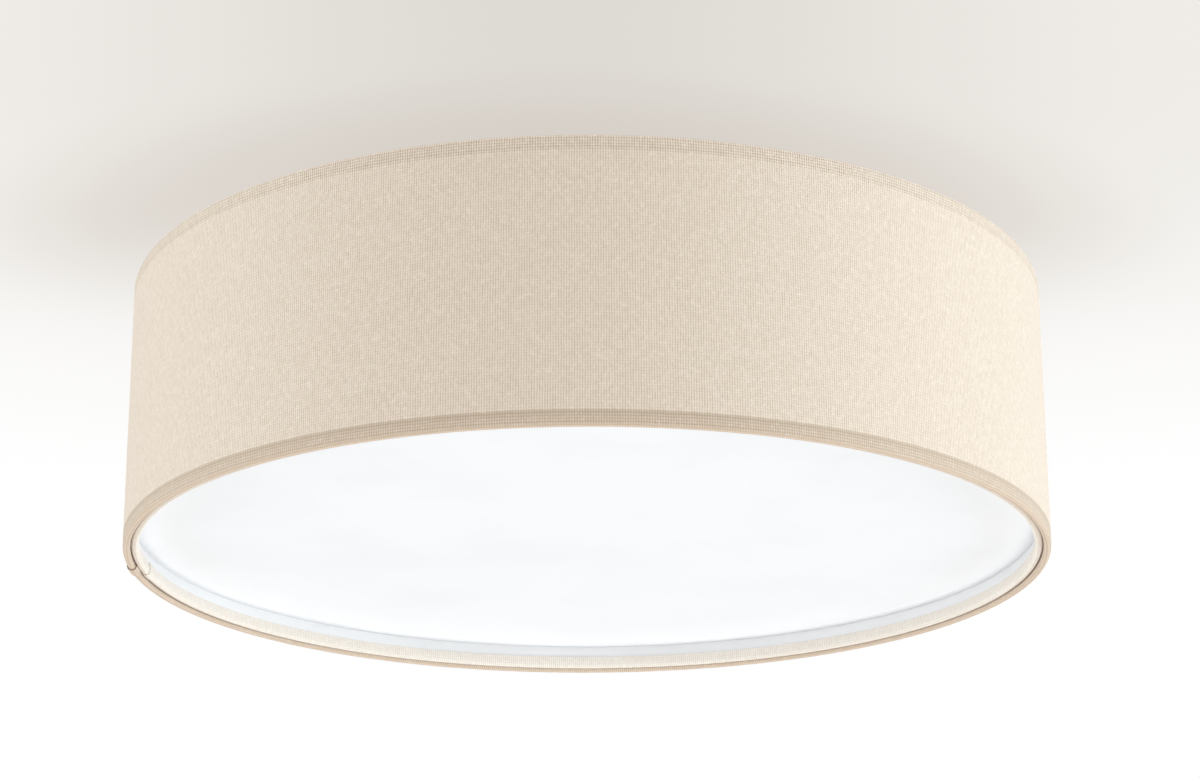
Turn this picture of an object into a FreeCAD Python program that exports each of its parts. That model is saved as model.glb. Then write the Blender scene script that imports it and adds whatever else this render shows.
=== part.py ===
import FreeCAD, Part
import math
import os
import Sketcher

# Flush mount ceiling light: a fabric drum shade with a drop-in opal diffuser, a ceiling pan and three
# bulbs. The origin is the centre of the light on the ceiling plane, +Z points up into the ceiling and the
# light hangs below it. All sizes are millimetres. Heights are negative below the ceiling.

doc = FreeCAD.newDocument("CeilingLight")

# Driving dimensions, one per row: name and value.
SIZES = {
    # drum shade
    "shade_diameter": "500",
    "shade_height": "148",
    "ceiling_gap": "2",
    "fabric_thickness": "0.5",
    "lining_thickness": "0.4",
    "glue_line": "0.1",
    "ring_wire": "3",
    "ring_wire_fit": "0.05",
    "hem_depth": "7.5",
    "hem_slope": "2.5",
    "lining_clearance": "0.3",
    # insert that carries the diffuser
    "insert_clearance": "0.4",
    "insert_recess": "1.6",
    "insert_wire": "3",
    "insert_hem_depth": "6.9",
    "insert_hem_lean": "0.8",
    "insert_lining": "0.5",
    "insert_top_lip": "1.5",
    "diffuser_setback": "15.3",
    "diffuser_thickness": "2",
    # magnets and the tabs they pull on
    "magnet_diameter": "10",
    "magnet_height": "3",
    "magnet_inset": "9",
    "tab_width": "14",
    "tab_sheet": "1",
    "tab_leg": "12",
    "tab_overhang": "2",
    "tab_wall_gap": "0.15",
    # arms that carry the shade
    "arm_width": "12",
    "arm_sheet": "2",
    "arm_outer_flat": "40",
    "arm_slope_run": "35",
    "arm_end_margin": "12",
    "arm_weld_gap": "0.1",
    "hem_notch_clearance": "0.5",
    "stud_hole_clearance": "0.4",
    # ceiling pan
    "pan_diameter": "300",
    "pan_depth": "18",
    "pan_sheet": "1",
    "pan_corner": "4",
    # mounting bar above the pan
    "bar_length": "230",
    "bar_width": "28",
    "bar_sheet": "2",
    "bar_cable_hole": "14",
    "slot_spacing": "120",
    "slot_length": "20",
    "slot_width": "5.5",
    "bar_stud_spacing": "200",
    "bar_stud_diameter": "4",
    "bar_stud_projection": "5.5",
    "thread_clearance": "0.05",
    "pan_hole_clearance": "0.25",
    "cap_nut_width": "7",
    "cap_nut_height": "4",
    "cap_nut_dome": "3.2",
    "cap_nut_shoulder": "4.4",
    "cap_nut_shoulder_rise": "0.7",
    "cap_nut_tip": "1.8",
    # studs and thumb nuts for the shade
    "shade_stud_circle": "270",
    "shade_stud_diameter": "4",
    "shade_stud_length": "14",
    "thumb_nut_diameter": "16",
    "thumb_nut_height": "8",
    "thumb_nut_grooves": "18",
    "thumb_nut_groove_radius": "0.6",
    "thumb_nut_groove_offset": "0.24",
    "thumb_nut_edge": "0.6",
    "thumb_nut_rim_height": "4.4",
    "thumb_nut_collar": "9.6",
    # lampholders and their brackets
    "holder_drop": "42",
    "bracket_reach": "30",
    "bracket_width": "30",
    "bracket_sheet": "1.5",
    "bracket_foot": "26",
    "bracket_below_axis": "14",
    "holder_length": "48.5",
    "holder_diameter": "40",
    "holder_back_diameter": "30",
    "holder_taper": "8",
    "holder_cavity": "30",
    "holder_mouth_flare": "1.5",
    "spigot_diameter": "10",
    "spigot_length": "7.5",
    "spigot_bore": "6.4",
    "spigot_bore_depth": "14",
    "ring_nut_width": "17",
    "ring_nut_height": "3",
    "nut_gap": "0.05",
    "contact_shell_bore": "27",
    "contact_shell_sheet": "0.4",
    "contact_shell_length": "23",
    "contact_strip_sheet": "0.5",
    "contact_strip_length": "20",
    "contact_strip_width": "8",
    "contact_boss_height": "1.5",
    "contact_boss_diameter": "7",
    "rivet_diameter": "3.2",
    "rivet_head_diameter": "6",
    "rivet_head_height": "1.4",
    "rivet_head_top": "3.6",
    "rivet_spacing": "18",
    # bulbs
    "bulb_length": "108",
    "bulb_diameter": "60",
    "globe_wall": "1.2",
    "cap_diameter": "26.2",
    "cap_length": "24.5",
    "cap_sheet": "0.4",
    "cap_thread_pitch": "3.63",
    "cap_thread_depth": "0.9",
    "tip_length": "2",
    "tip_diameter": "8",
    "tip_face_diameter": "5.6",
    "cap_end_ring": "1",
    "cap_thread_half_width": "1.09",
    "bulb_neck_step": "0.6",
    "bulb_neck_height": "4",
    "bulb_shoulder_bulge": "1.2",
    "globe_seat": "47",
    # wiring
    "grommet_hole": "12",
    "grommet_bore": "8",
    "grommet_flange": "18",
    "grommet_lip": "2",
    "grommet_edge": "1",
    "cable_entry_offset": "90",
    "block_offset": "48",
    "block_width": "20",
    "block_length": "36",
    "block_height": "13",
    "block_ear_length": "8",
    "block_ear_height": "3",
    "port_pitch": "5",
    "port_diameter": "2.6",
    "port_depth": "7",
    "clamp_screw_diameter": "3.4",
    "clamp_screw_sink": "0.6",
    "clamp_slot": "0.7",
    "block_screw_diameter": "3",
    "screw_head_diameter": "5.6",
    "screw_head_height": "2",
    "screw_head_top": "4",
    "screw_past_pan": "3",
    "wire_diameter": "2",
    "wire_insertion": "4",
    "earth_offset": "72",
    "earth_side": "26",
    "earth_screw_diameter": "4",
    "earth_head_diameter": "7.5",
    "earth_head_height": "3",
    "lug_diameter": "9",
    "lug_sheet": "0.8",
    "lug_tongue_length": "5.8",
    "lug_tongue_start": "5.2",
    "lug_tongue_height": "1.9",
    "earth_wire_exit": "14",
    "earth_wire_run_in": "8",
    "wire_spread": "0.25",
    "bend_share": "0.45",
    "wire_exit": "9",
    "wire_run_in": "11",
}

# Places that follow from the driving dimensions. Each name is used by every piece that meets there.
PLACES = {
    # shade: radii outward from the axis, heights down from the ceiling
    "wall_radius": "Sizes.shade_diameter / 2",
    "wall_inner": "wall_radius - Sizes.fabric_thickness",
    "lining_outer": "wall_inner - Sizes.glue_line",
    "lining_inner": "lining_outer - Sizes.lining_thickness",
    "hem_outer": "lining_inner - Sizes.glue_line",
    "hem_inner": "hem_outer - Sizes.fabric_thickness",
    "wire_radius": "Sizes.ring_wire / 2",
    "wire_seat": "wire_radius + Sizes.ring_wire_fit",
    "roll_radius": "wire_seat + Sizes.fabric_thickness",
    "ring_radius": "wall_radius - roll_radius",
    "shade_top": "-Sizes.ceiling_gap",
    "shade_bottom": "shade_top - Sizes.shade_height",
    "top_ring_height": "shade_top - roll_radius",
    "bottom_ring_height": "shade_bottom + roll_radius",
    # insert
    "insert_radius": "ring_radius - roll_radius - Sizes.insert_clearance",
    "insert_wall_inner": "insert_radius - Sizes.fabric_thickness",
    "insert_lining_outer": "insert_wall_inner - Sizes.glue_line",
    "insert_lining_inner": "insert_lining_outer - Sizes.insert_lining",
    "insert_wire_radius": "Sizes.insert_wire / 2",
    "insert_wire_seat": "insert_wire_radius + Sizes.ring_wire_fit",
    "insert_roll_radius": "insert_wire_seat + Sizes.fabric_thickness",
    "insert_ring_radius": "insert_radius - insert_roll_radius",
    "insert_bottom": "shade_bottom + Sizes.insert_recess",
    "insert_ring_height": "insert_bottom + insert_roll_radius",
    "disc_bottom": "shade_bottom + Sizes.diffuser_setback",
    "disc_top": "disc_bottom + Sizes.diffuser_thickness",
    "magnet_top": "disc_top + Sizes.magnet_height",
    "magnet_radius": "insert_lining_outer - Sizes.magnet_inset",
    "tab_inner": "magnet_radius - Sizes.magnet_diameter / 2 - Sizes.tab_overhang",
    "tab_outer": "lining_inner - Sizes.tab_wall_gap",
    # pan and what hangs under it
    "pan_radius": "Sizes.pan_diameter / 2",
    "pan_under": "-Sizes.pan_depth",
    "pan_floor": "pan_under + Sizes.pan_sheet",
    "bar_under": "-Sizes.bar_sheet",
    "stud_radius": "Sizes.shade_stud_circle / 2",
    "arm_under": "pan_under - Sizes.arm_sheet",
    "arm_outer_end": "ring_radius - wire_radius - Sizes.arm_weld_gap",
    "arm_inner_end": "stud_radius - Sizes.arm_end_margin",
    "bar_stud_end": "pan_under - Sizes.bar_stud_projection",
    # lampholder: heights of the axis and distances out along it
    "axis_height": "pan_under - Sizes.holder_drop",
    "holder_back": "Sizes.bracket_reach + Sizes.bracket_sheet",
    "holder_mouth": "holder_back + Sizes.holder_length",
    "cavity_floor": "holder_mouth - Sizes.holder_cavity",
    "spigot_end": "holder_back - Sizes.spigot_length",
    "spigot_bore_end": "holder_back + Sizes.spigot_bore_depth",
    "shell_bore": "Sizes.contact_shell_bore / 2",
    "shell_outer": "shell_bore + Sizes.contact_shell_sheet",
    "shell_seat": "shell_outer + Sizes.thread_clearance",
    "strip_top": "cavity_floor + Sizes.contact_strip_sheet",
    "tip_start": "strip_top + Sizes.contact_boss_height",
    "cap_start": "tip_start + Sizes.tip_length",
    "cap_end": "cap_start + Sizes.cap_length",
    "cap_radius": "Sizes.cap_diameter / 2",
    "cap_inner": "cap_radius - Sizes.cap_thread_depth - Sizes.cap_sheet",
    "cap_floor": "cap_start + Sizes.cap_thread_pitch",
    "bulb_end": "tip_start + Sizes.bulb_length",
    "globe_radius": "Sizes.bulb_diameter / 2",
    "globe_centre": "bulb_end - globe_radius",
    "globe_edge": "bulb_end - Sizes.globe_seat",
    "globe_edge_radius": "sqrt(globe_radius ^ 2 - (globe_centre - globe_edge) ^ 2)",
    "globe_inner": "globe_radius - Sizes.globe_wall",
    "globe_edge_inner": "sqrt(globe_inner ^ 2 - (globe_centre - globe_edge) ^ 2)",
    # terminal block
    "block_near": "Sizes.block_offset - Sizes.block_width / 2",
    "block_far": "Sizes.block_offset + Sizes.block_width / 2",
    "port_height": "pan_under - Sizes.block_height / 2",
    "ear_middle": "Sizes.block_length / 2 + Sizes.block_ear_length / 2",
}

THREES = (0, 120, 240)
HOLDER_ANGLES = (60, 180, 300)
PORTS = 6
SUPPLY_PORTS = 3
CLOTH_SECTORS = 8

sizes = doc.addObject("Spreadsheet::Sheet", "Sizes")
for row, (alias, text) in enumerate(SIZES.items(), 1):
    sizes.set(f"A{row}", alias)
    sizes.set(f"B{row}", text)
    sizes.setAlias(f"B{row}", alias)
places = doc.addObject("Spreadsheet::Sheet", "Places")
for row, (alias, formula) in enumerate(PLACES.items(), 1):
    places.set(f"A{row}", alias)
    places.set(f"B{row}", "=" + formula)
    places.setAlias(f"B{row}", alias)
doc.recompute()

nodes = []


def value(formula):
    """The number that a formula in the sheets' names gives now."""
    return float(sizes.evalExpression(formula))


def P(name):
    """A formula that names one of the derived places."""
    return f"Places.{name}"


def S(name):
    """A formula that names one of the driving dimensions."""
    return f"Sizes.{name}"


def keep(item, node):
    """Name a finished sub-part. Its label names its file."""
    item.Label = node
    nodes.append(item)
    return item


def turned(item, angle):
    """Turn a sub-part about the light's own axis."""
    item.Placement = FreeCAD.Placement(
        FreeCAD.Vector(0, 0, 0), FreeCAD.Rotation(FreeCAD.Vector(0, 0, 1), angle)
    )
    return item


def aimed(item, angle):
    """Lay a sub-part that was made along +Z on a lampholder's axis, pointing outward."""
    outward = FreeCAD.Rotation(FreeCAD.Vector(0, 1, 0), 90)
    turn = FreeCAD.Rotation(FreeCAD.Vector(0, 0, 1), angle)
    item.Placement = FreeCAD.Placement(FreeCAD.Vector(0, 0, 0), turn.multiply(outward))
    item.setExpression(".Placement.Base.z", P("axis_height"))
    return item


def plane_of(body, role):
    """One of the body's own origin planes."""
    return next(item for item in body.Origin.OriginFeatures if item.Role == role)


def pin(sketch, kind, edge, point, formula):
    """Tie one coordinate of a sketch point to a formula."""
    index = sketch.addConstraint(Sketcher.Constraint(kind, -1, 1, edge, point, value(formula)))
    sketch.setExpression(f"Constraints[{index}]", formula)


def blank_sketch(body, name, role, lift=None):
    """An empty sketch on one of the body's planes, lifted along the plane's normal."""
    sketch = body.newObject("Sketcher::SketchObject", name)
    sketch.AttachmentSupport = [(plane_of(body, role), "")]
    sketch.MapMode = "FlatFace"
    if lift:
        sketch.setExpression(".AttachmentOffset.Base.z", lift)
    return sketch


def outline(sketch, corners):
    """A closed outline. A corner is (x, y), or (x, y, centre x, centre y, turn) where an arc leaves it."""
    first = sketch.GeometryCount
    count = len(corners)
    spots = [FreeCAD.Vector(value(c[0]), value(c[1]), 0) for c in corners]
    ends = []
    for index, corner in enumerate(corners):
        here = spots[index]
        there = spots[(index + 1) % count]
        if len(corner) == 2:
            sketch.addGeometry(Part.LineSegment(here, there))
            ends.append((1, 2))
            continue
        centre = FreeCAD.Vector(value(corner[2]), value(corner[3]), 0)
        circle = Part.Circle(centre, FreeCAD.Vector(0, 0, 1), here.distanceToPoint(centre))
        start = math.atan2(here.y - centre.y, here.x - centre.x)
        stop = math.atan2(there.y - centre.y, there.x - centre.x)
        left = corner[4] == "left"
        sketch.addGeometry(Part.ArcOfCircle(circle, start if left else stop, stop if left else start))
        ends.append((1, 2) if left else (2, 1))
    for index in range(count):
        after = (index + 1) % count
        sketch.addConstraint(
            Sketcher.Constraint("Coincident", first + index, ends[index][1], first + after, ends[after][0])
        )
    for index, corner in enumerate(corners):
        before = corners[index - 1]
        free = None
        if len(before) > 2:
            across = abs(spots[index].x - value(before[2]))
            along = abs(spots[index].y - value(before[3]))
            free = "DistanceX" if across > along else "DistanceY"
        for kind, formula in zip(("DistanceX", "DistanceY"), corner):
            if kind != free:
                pin(sketch, kind, first + index, ends[index][0], formula)
        if len(corner) > 2:
            pin(sketch, "DistanceX", first + index, 3, corner[2])
            pin(sketch, "DistanceY", first + index, 3, corner[3])


def hole(sketch, x, y, radius):
    """A circle in a sketch, with its centre and radius tied to formulas."""
    centre = FreeCAD.Vector(value(x), value(y), 0)
    index = sketch.addGeometry(Part.Circle(centre, FreeCAD.Vector(0, 0, 1), value(radius)))
    pin(sketch, "DistanceX", index, 3, x)
    pin(sketch, "DistanceY", index, 3, y)
    size = sketch.addConstraint(Sketcher.Constraint("Radius", index, value(radius)))
    sketch.setExpression(f"Constraints[{size}]", radius)


def rectangle(x0, y0, x1, y1):
    """Corners of a rectangle between two formulas each way."""
    return [(x0, y0), (x1, y0), (x1, y1), (x0, y1)]


def turned_body(name, corners, sectors=1):
    """A body made by turning one profile (radius, height) about the Z axis, in one or more equal sectors."""
    body = doc.addObject("PartDesign::Body", name)
    sketch = blank_sketch(body, name + "Profile", "XZ_Plane")
    outline(sketch, corners)
    revolution = body.newObject("PartDesign::Revolution", name + "Turning")
    revolution.Profile = sketch
    revolution.ReferenceAxis = (sketch, ["V_Axis"])
    revolution.Angle = 360 / sectors
    sketch.Visibility = False
    if sectors > 1:
        around = body.newObject("PartDesign::PolarPattern", name + "Sectors")
        around.Originals = [revolution]
        around.Axis = (plane_of(body, "Z_Axis"), [""])
        around.Angle = 360
        around.Occurrences = sectors
        around.Refine = False
        body.Tip = around
    return body


def padded_body(name, role, corners, length, lift=None, holes=()):
    """A body made by raising one outline, with any round holes, along its plane's normal."""
    body = doc.addObject("PartDesign::Body", name)
    sketch = blank_sketch(body, name + "Outline", role, lift)
    outline(sketch, corners)
    for x, y, radius in holes:
        hole(sketch, x, y, radius)
    pad = body.newObject("PartDesign::Pad", name + "Pad")
    pad.Profile = sketch
    pad.setExpression("Length", length)
    return body


def pocket(body, name, sketch):
    """Cut a sketch right through a body, and make sure that it cuts."""
    doc.recompute()
    before = body.Shape.Volume
    cut = body.newObject("PartDesign::Pocket", name)
    cut.Profile = sketch
    cut.Type = "ThroughAll"
    cut.SideType = "Symmetric"
    doc.recompute()
    if body.Shape.Volume >= before:
        raise RuntimeError(f"{name} cuts nothing")
    return cut


def cylinder(name, radius, height, x="0", y="0", z="0"):
    """An upright cylinder from a height z, tied to formulas."""
    item = doc.addObject("Part::Cylinder", name)
    item.setExpression("Radius", radius)
    item.setExpression("Height", height)
    move(item, x, y, z)
    return item


def block(name, length, width, height, x, y, z):
    """A box with its lowest corner at (x, y, z), tied to formulas."""
    item = doc.addObject("Part::Box", name)
    item.setExpression("Length", length)
    item.setExpression("Width", width)
    item.setExpression("Height", height)
    move(item, x, y, z)
    return item


def move(item, x, y, z):
    """Tie a sub-part's place to formulas."""
    item.setExpression(".Placement.Base.x", x)
    item.setExpression(".Placement.Base.y", y)
    item.setExpression(".Placement.Base.z", z)


def cut(name, base, tool):
    """The base with the tool's space taken away."""
    item = doc.addObject("Part::Cut", name)
    item.Base = base
    item.Tool = tool
    return item


def joined(name, shapes):
    """One solid from several."""
    item = doc.addObject("Part::MultiFuse", name)
    item.Shapes = shapes
    item.Refine = True
    return item


def group(name, items):
    """Several separate solids that share one node."""
    item = doc.addObject("Part::Compound", name)
    item.Links = items
    return item


def polar(radius, angle):
    """Formulas for the x and y of a point at a radius formula and an angle in degrees."""
    return f"({radius}) * cos({angle} deg)", f"({radius}) * sin({angle} deg)"


# Mounting bar, its studs and cap nuts ---------------------------------------------------------------


def make_mounting_bar():
    """The steel strip on the ceiling: two slots for ceiling screws, a cable hole and two stud holes."""
    half_w = f"{S('bar_width')} / 2"
    half_l = f"{S('bar_length')} / 2"
    stud_y = f"{S('bar_stud_spacing')} / 2"
    stud_r = f"{S('bar_stud_diameter')} / 2 + {S('thread_clearance')}"
    body = padded_body(
        "MountingBar",
        "XY_Plane",
        rectangle(f"-({half_w})", f"-({half_l})", half_w, half_l),
        S("bar_sheet"),
        P("bar_under"),
        [("0", "0", f"{S('bar_cable_hole')} / 2"), ("0", stud_y, stud_r), ("0", f"-({stud_y})", stud_r)],
    )
    slots = blank_sketch(body, "CeilingSlots", "XY_Plane")
    half_slot = f"{S('slot_width')} / 2"
    reach = f"({S('slot_length')} - {S('slot_width')}) / 2"
    for side in ("", "-"):
        middle = f"{side}{S('slot_spacing')} / 2"
        low = f"{middle} - {reach}"
        high = f"{middle} + {reach}"
        left = f"-({half_slot})"
        outline(
            slots,
            [(half_slot, low), (half_slot, high, "0", high, "left"), (left, high),
             (left, low, "0", low, "left")],
        )
    pocket(body, "CeilingSlotCut", slots)
    keep(body, "mounting_bar")


def make_bar_studs():
    """Two threaded studs from the bar down through the pan."""
    studs = []
    for index, side in enumerate(("", "-")):
        y = f"{side}{S('bar_stud_spacing')} / 2"
        studs.append(
            cylinder(f"BarStud{index}", f"{S('bar_stud_diameter')} / 2", f"-({P('bar_stud_end')})", "0", y,
                     P("bar_stud_end"))
        )
    keep(group("BarStuds", studs), "bar_studs")


def hexagon(width):
    """Corners of a hexagon of a width across its flats, about the origin."""
    corner = f"({width}) / sqrt(3)"
    return [polar(corner, 60 * turn) for turn in range(6)]


def make_cap_nuts():
    """Two domed nuts that hold the pan up on the bar's studs."""
    nuts = []
    bore = f"{S('bar_stud_diameter')} / 2 + {S('thread_clearance')}"
    wide = f"{S('cap_nut_width')} / 2"
    hex_low = f"{P('pan_under')} - {S('cap_nut_height')}"
    dome_low = f"{hex_low} - {S('cap_nut_dome')}"
    dome_high = f"{hex_low} + {S('cap_nut_height')} / 2"
    bore_end = f"{P('bar_stud_end')} - {S('thread_clearance')}"
    for index, side in enumerate(("", "-")):
        y = f"{side}{S('bar_stud_spacing')} / 2"
        prism = padded_body(
            f"CapNutHex{index}", "XY_Plane", hexagon(S("cap_nut_width")), S("cap_nut_height"), hex_low
        )
        dome = turned_body(
            f"CapNutDome{index}",
            [("0", dome_high), (wide, dome_high),
             (wide, hex_low), (f"{S('cap_nut_shoulder')} / 2", f"{dome_low} + {S('cap_nut_shoulder_rise')}"),
             (f"{S('cap_nut_tip')} / 2", dome_low), ("0", dome_low)],
        )
        thread = cylinder(f"CapNutBore{index}", bore, f"{P('pan_under')} - ({bore_end})", "0", "0", bore_end)
        nut = cut(f"CapNut{index}", joined(f"CapNutSolid{index}", [prism, dome]), thread)
        move(nut, "0", y, "0")
        nuts.append(nut)
    keep(group("CapNuts", nuts), "cap_nuts")


# Ceiling pan and the pieces fixed to it --------------------------------------------------------------


def make_ceiling_pan():
    """The round steel dish, open to the ceiling, with the holes for studs, cable, rivets and screws."""
    outer = P("pan_radius")
    inner = f"{P('pan_radius')} - {S('pan_sheet')}"
    under = P("pan_under")
    floor = P("pan_floor")
    bend_x = f"{P('pan_radius')} - {S('pan_corner')}"
    bend_y = f"{P('pan_under')} + {S('pan_corner')}"
    body = turned_body(
        "CeilingPan",
        [(inner, "0"), (outer, "0"), (outer, bend_y, bend_x, bend_y, "right"), (bend_x, under), ("0", under),
         ("0", floor), (bend_x, floor, bend_x, bend_y, "left"), (inner, bend_y)],
    )
    sketch = blank_sketch(body, "PanHoles", "XY_Plane")
    stud_hole = f"{S('bar_stud_diameter')} / 2 + {S('pan_hole_clearance')}"
    for side in ("", "-"):
        hole(sketch, "0", f"{side}{S('bar_stud_spacing')} / 2", stud_hole)
        hole(sketch, S("block_offset"), f"{side}{P('ear_middle')}", f"{S('block_screw_diameter')} / 2")
    hole(sketch, S("cable_entry_offset"), "0", f"{S('grommet_hole')} / 2")
    hole(sketch, S("earth_offset"), S("earth_side"), f"{S('earth_screw_diameter')} / 2")
    for angle in HOLDER_ANGLES:
        for x, y in rivet_places(angle):
            hole(sketch, x, y, f"{S('rivet_diameter')} / 2")
    pocket(body, "PanHoleCut", sketch)
    keep(body, "ceiling_pan")


def rivet_places(angle):
    """Formulas for the two rivets of the bracket at an angle."""
    along = f"({P('holder_back')} + {S('bracket_foot')} / 2)"
    spots = []
    for side in ("", "-"):
        across = f"({side}{S('rivet_spacing')} / 2)"
        spots.append(
            (f"{along} * cos({angle} deg) - {across} * sin({angle} deg)",
             f"{along} * sin({angle} deg) + {across} * cos({angle} deg)")
        )
    return spots


def make_cable_grommet():
    """The rubber ring in the pan's cable hole, with a flange on each side of the sheet."""
    bore = f"{S('grommet_bore')} / 2"
    neck = f"{S('grommet_hole')} / 2"
    flange = f"{S('grommet_flange')} / 2"
    face = f"{flange} - {S('grommet_edge')}"
    low = f"{P('pan_under')} - {S('grommet_lip')}"
    high = f"{P('pan_floor')} + {S('grommet_lip')}"
    body = turned_body(
        "CableGrommet",
        [(bore, low), (face, low), (flange, P("pan_under")), (neck, P("pan_under")),
         (neck, P("pan_floor")), (flange, P("pan_floor")), (face, high), (bore, high)],
    )
    move(body, S("cable_entry_offset"), "0", "0")
    keep(body, "cable_grommet")


def make_shade_studs():
    """Three threaded studs welded under the pan, which carry the shade's arms."""
    studs = []
    for angle in THREES:
        x, y = polar(P("stud_radius"), angle)
        studs.append(
            cylinder(f"ShadeStud{angle}", f"{S('shade_stud_diameter')} / 2", S("shade_stud_length"), x, y,
                     f"{P('pan_under')} - {S('shade_stud_length')}")
        )
    keep(group("ShadeStuds", studs), "shade_studs")


def make_lampholder_bracket(angle):
    """The bent steel angle that holds one lampholder: a foot under the pan and a hanging plate."""
    reach = S("bracket_reach")
    sheet = S("bracket_sheet")
    under = P("pan_under")
    foot_end = f"{P('holder_back')} + {S('bracket_foot')}"
    lower = f"{P('axis_height')} - {S('bracket_below_axis')}"
    half = f"{S('bracket_width')} / 2"
    body = doc.addObject("PartDesign::Body", f"Bracket{angle}")
    sketch = blank_sketch(body, f"BracketSide{angle}", "XZ_Plane", f"-({half})")
    outline(
        sketch,
        [(reach, under), (foot_end, under), (foot_end, f"{under} - {sheet}"),
         (f"{reach} + {sheet}", f"{under} - {sheet}"), (f"{reach} + {sheet}", lower), (reach, lower)],
    )
    pad = body.newObject("PartDesign::Pad", f"BracketPad{angle}")
    pad.Profile = sketch
    pad.setExpression("Length", S("bracket_width"))
    round_hole = blank_sketch(body, f"BracketHole{angle}", "YZ_Plane", reach)
    hole(round_hole, "0", P("axis_height"), f"{S('spigot_diameter')} / 2 + {S('thread_clearance')}")
    pocket(body, f"BracketHoleCut{angle}", round_hole)
    rivets = blank_sketch(body, f"BracketRivets{angle}", "XY_Plane")
    for side in ("", "-"):
        hole(rivets, f"{P('holder_back')} + {S('bracket_foot')} / 2", f"{side}{S('rivet_spacing')} / 2",
             f"{S('rivet_diameter')} / 2")
    pocket(body, f"BracketRivetCut{angle}", rivets)
    turned(body, angle)
    return body


def make_rivets():
    """The rivets that join the three bracket feet to the pan, each with a head on both sides."""
    rivets = []
    shank = f"{S('rivet_diameter')} / 2"
    head = f"{S('rivet_head_diameter')} / 2"
    top = f"{S('rivet_head_top')} / 2"
    foot = f"{P('pan_under')} - {S('bracket_sheet')}"
    low = f"{foot} - {S('rivet_head_height')}"
    high = f"{P('pan_floor')} + {S('rivet_head_height')}"
    for angle in HOLDER_ANGLES:
        for index, (x, y) in enumerate(rivet_places(angle)):
            rivet = turned_body(
                f"Rivet{angle}_{index}",
                [("0", low), (top, low), (head, foot), (shank, foot), (shank, P("pan_floor")),
                 (head, P("pan_floor")), (top, high), ("0", high)],
            )
            move(rivet, x, y, "0")
            rivets.append(rivet)
    keep(group("Rivets", rivets), "bracket_rivets")


# Lampholders -----------------------------------------------------------------------------------------


def make_lampholder(angle):
    """The moulded lampholder body: a cup with a threaded hollow spigot at its back."""
    spigot = f"{S('spigot_diameter')} / 2"
    bore = f"{S('spigot_bore')} / 2"
    back = f"{S('holder_back_diameter')} / 2"
    outer = f"{S('holder_diameter')} / 2"
    taper_end = f"{P('holder_back')} + {S('holder_taper')}"
    flare = S("holder_mouth_flare")
    body = turned_body(
        f"Lampholder{angle}",
        [(bore, P("spigot_end")), (spigot, P("spigot_end")), (spigot, P("holder_back")),
         (back, P("holder_back")), (outer, taper_end), (outer, P("holder_mouth")),
         (f"{P('shell_seat')} + {flare}", P("holder_mouth")),
         (P("shell_seat"), f"{P('holder_mouth')} - {flare}"), (P("shell_seat"), P("cavity_floor")),
         ("0", P("cavity_floor")), ("0", P("spigot_bore_end")), (bore, P("spigot_bore_end"))],
    )
    return aimed(body, angle)


def make_ring_nut(angle):
    """The hexagon nut that clamps a lampholder to its bracket."""
    low = f"{S('bracket_reach')} - {S('nut_gap')} - {S('ring_nut_height')}"
    bore = f"{S('spigot_diameter')} / 2 + {S('thread_clearance')}"
    body = padded_body(
        f"RingNut{angle}",
        "XY_Plane",
        hexagon(S("ring_nut_width")),
        S("ring_nut_height"),
        low,
        [("0", "0", bore)],
    )
    return aimed(body, angle)


def make_contact_shell(angle):
    """The round metal sleeve that a bulb's screw cap turns in."""
    low = P("strip_top")
    high = f"{P('strip_top')} + {S('contact_shell_length')}"
    body = turned_body(
        f"ContactShell{angle}",
        [(P("shell_bore"), low), (P("shell_outer"), low), (P("shell_outer"), high), (P("shell_bore"), high)],
    )
    return aimed(body, angle)


def make_centre_contact(angle):
    """The flat contact strip on the cavity's floor, with the raised boss that meets the bulb's tip."""
    half_l = f"{S('contact_strip_length')} / 2"
    half_w = f"{S('contact_strip_width')} / 2"
    strip = padded_body(
        f"ContactStrip{angle}",
        "XY_Plane",
        rectangle(f"-({half_w})", f"-({half_l})", half_w, half_l),
        S("contact_strip_sheet"),
        P("cavity_floor"),
    )
    boss = cylinder(
        f"ContactBoss{angle}",
        f"{S('contact_boss_diameter')} / 2",
        S("contact_boss_height"),
        "0",
        "0",
        P("strip_top"),
    )
    return aimed(joined(f"CentreContact{angle}", [strip, boss]), angle)


# Bulbs -----------------------------------------------------------------------------------------------


def make_bulb_tip(angle):
    """The contact button at the end of a bulb's cap."""
    wide = f"{S('tip_diameter')} / 2"
    face = f"{S('tip_face_diameter')} / 2"
    body = turned_body(
        f"BulbTip{angle}",
        [("0", P("tip_start")), (face, P("tip_start")), (wide, P("cap_start")), ("0", P("cap_start"))],
    )
    return aimed(body, angle)


def make_bulb_cap(angle):
    """The screw cap: a thin closed shell whose wall waves in and out once per thread pitch."""
    crest = P("cap_radius")
    root = f"{P('cap_radius')} - {S('cap_thread_depth')}"
    pitch = S("cap_thread_pitch")
    turns = int(value(f"({S('cap_length')} - {pitch}) / {pitch}"))
    half = S("cap_thread_half_width")
    corners = [("0", P("cap_start")), (f"{S('tip_diameter')} / 2 + {S('cap_end_ring')}", P("cap_start"))]
    for turn in range(turns):
        base = f"{P('cap_start')} + {pitch} * {turn} + {pitch}"
        corners.append((root, f"{base} - {half}"))
        corners.append((crest, base))
        corners.append((root, f"{base} + {half}"))
    corners.append((root, P("cap_end")))
    corners.append((P("cap_inner"), P("cap_end")))
    corners.append((P("cap_inner"), P("cap_floor")))
    corners.append(("0", P("cap_floor")))
    return aimed(turned_body(f"BulbCap{angle}", corners), angle)


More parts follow.
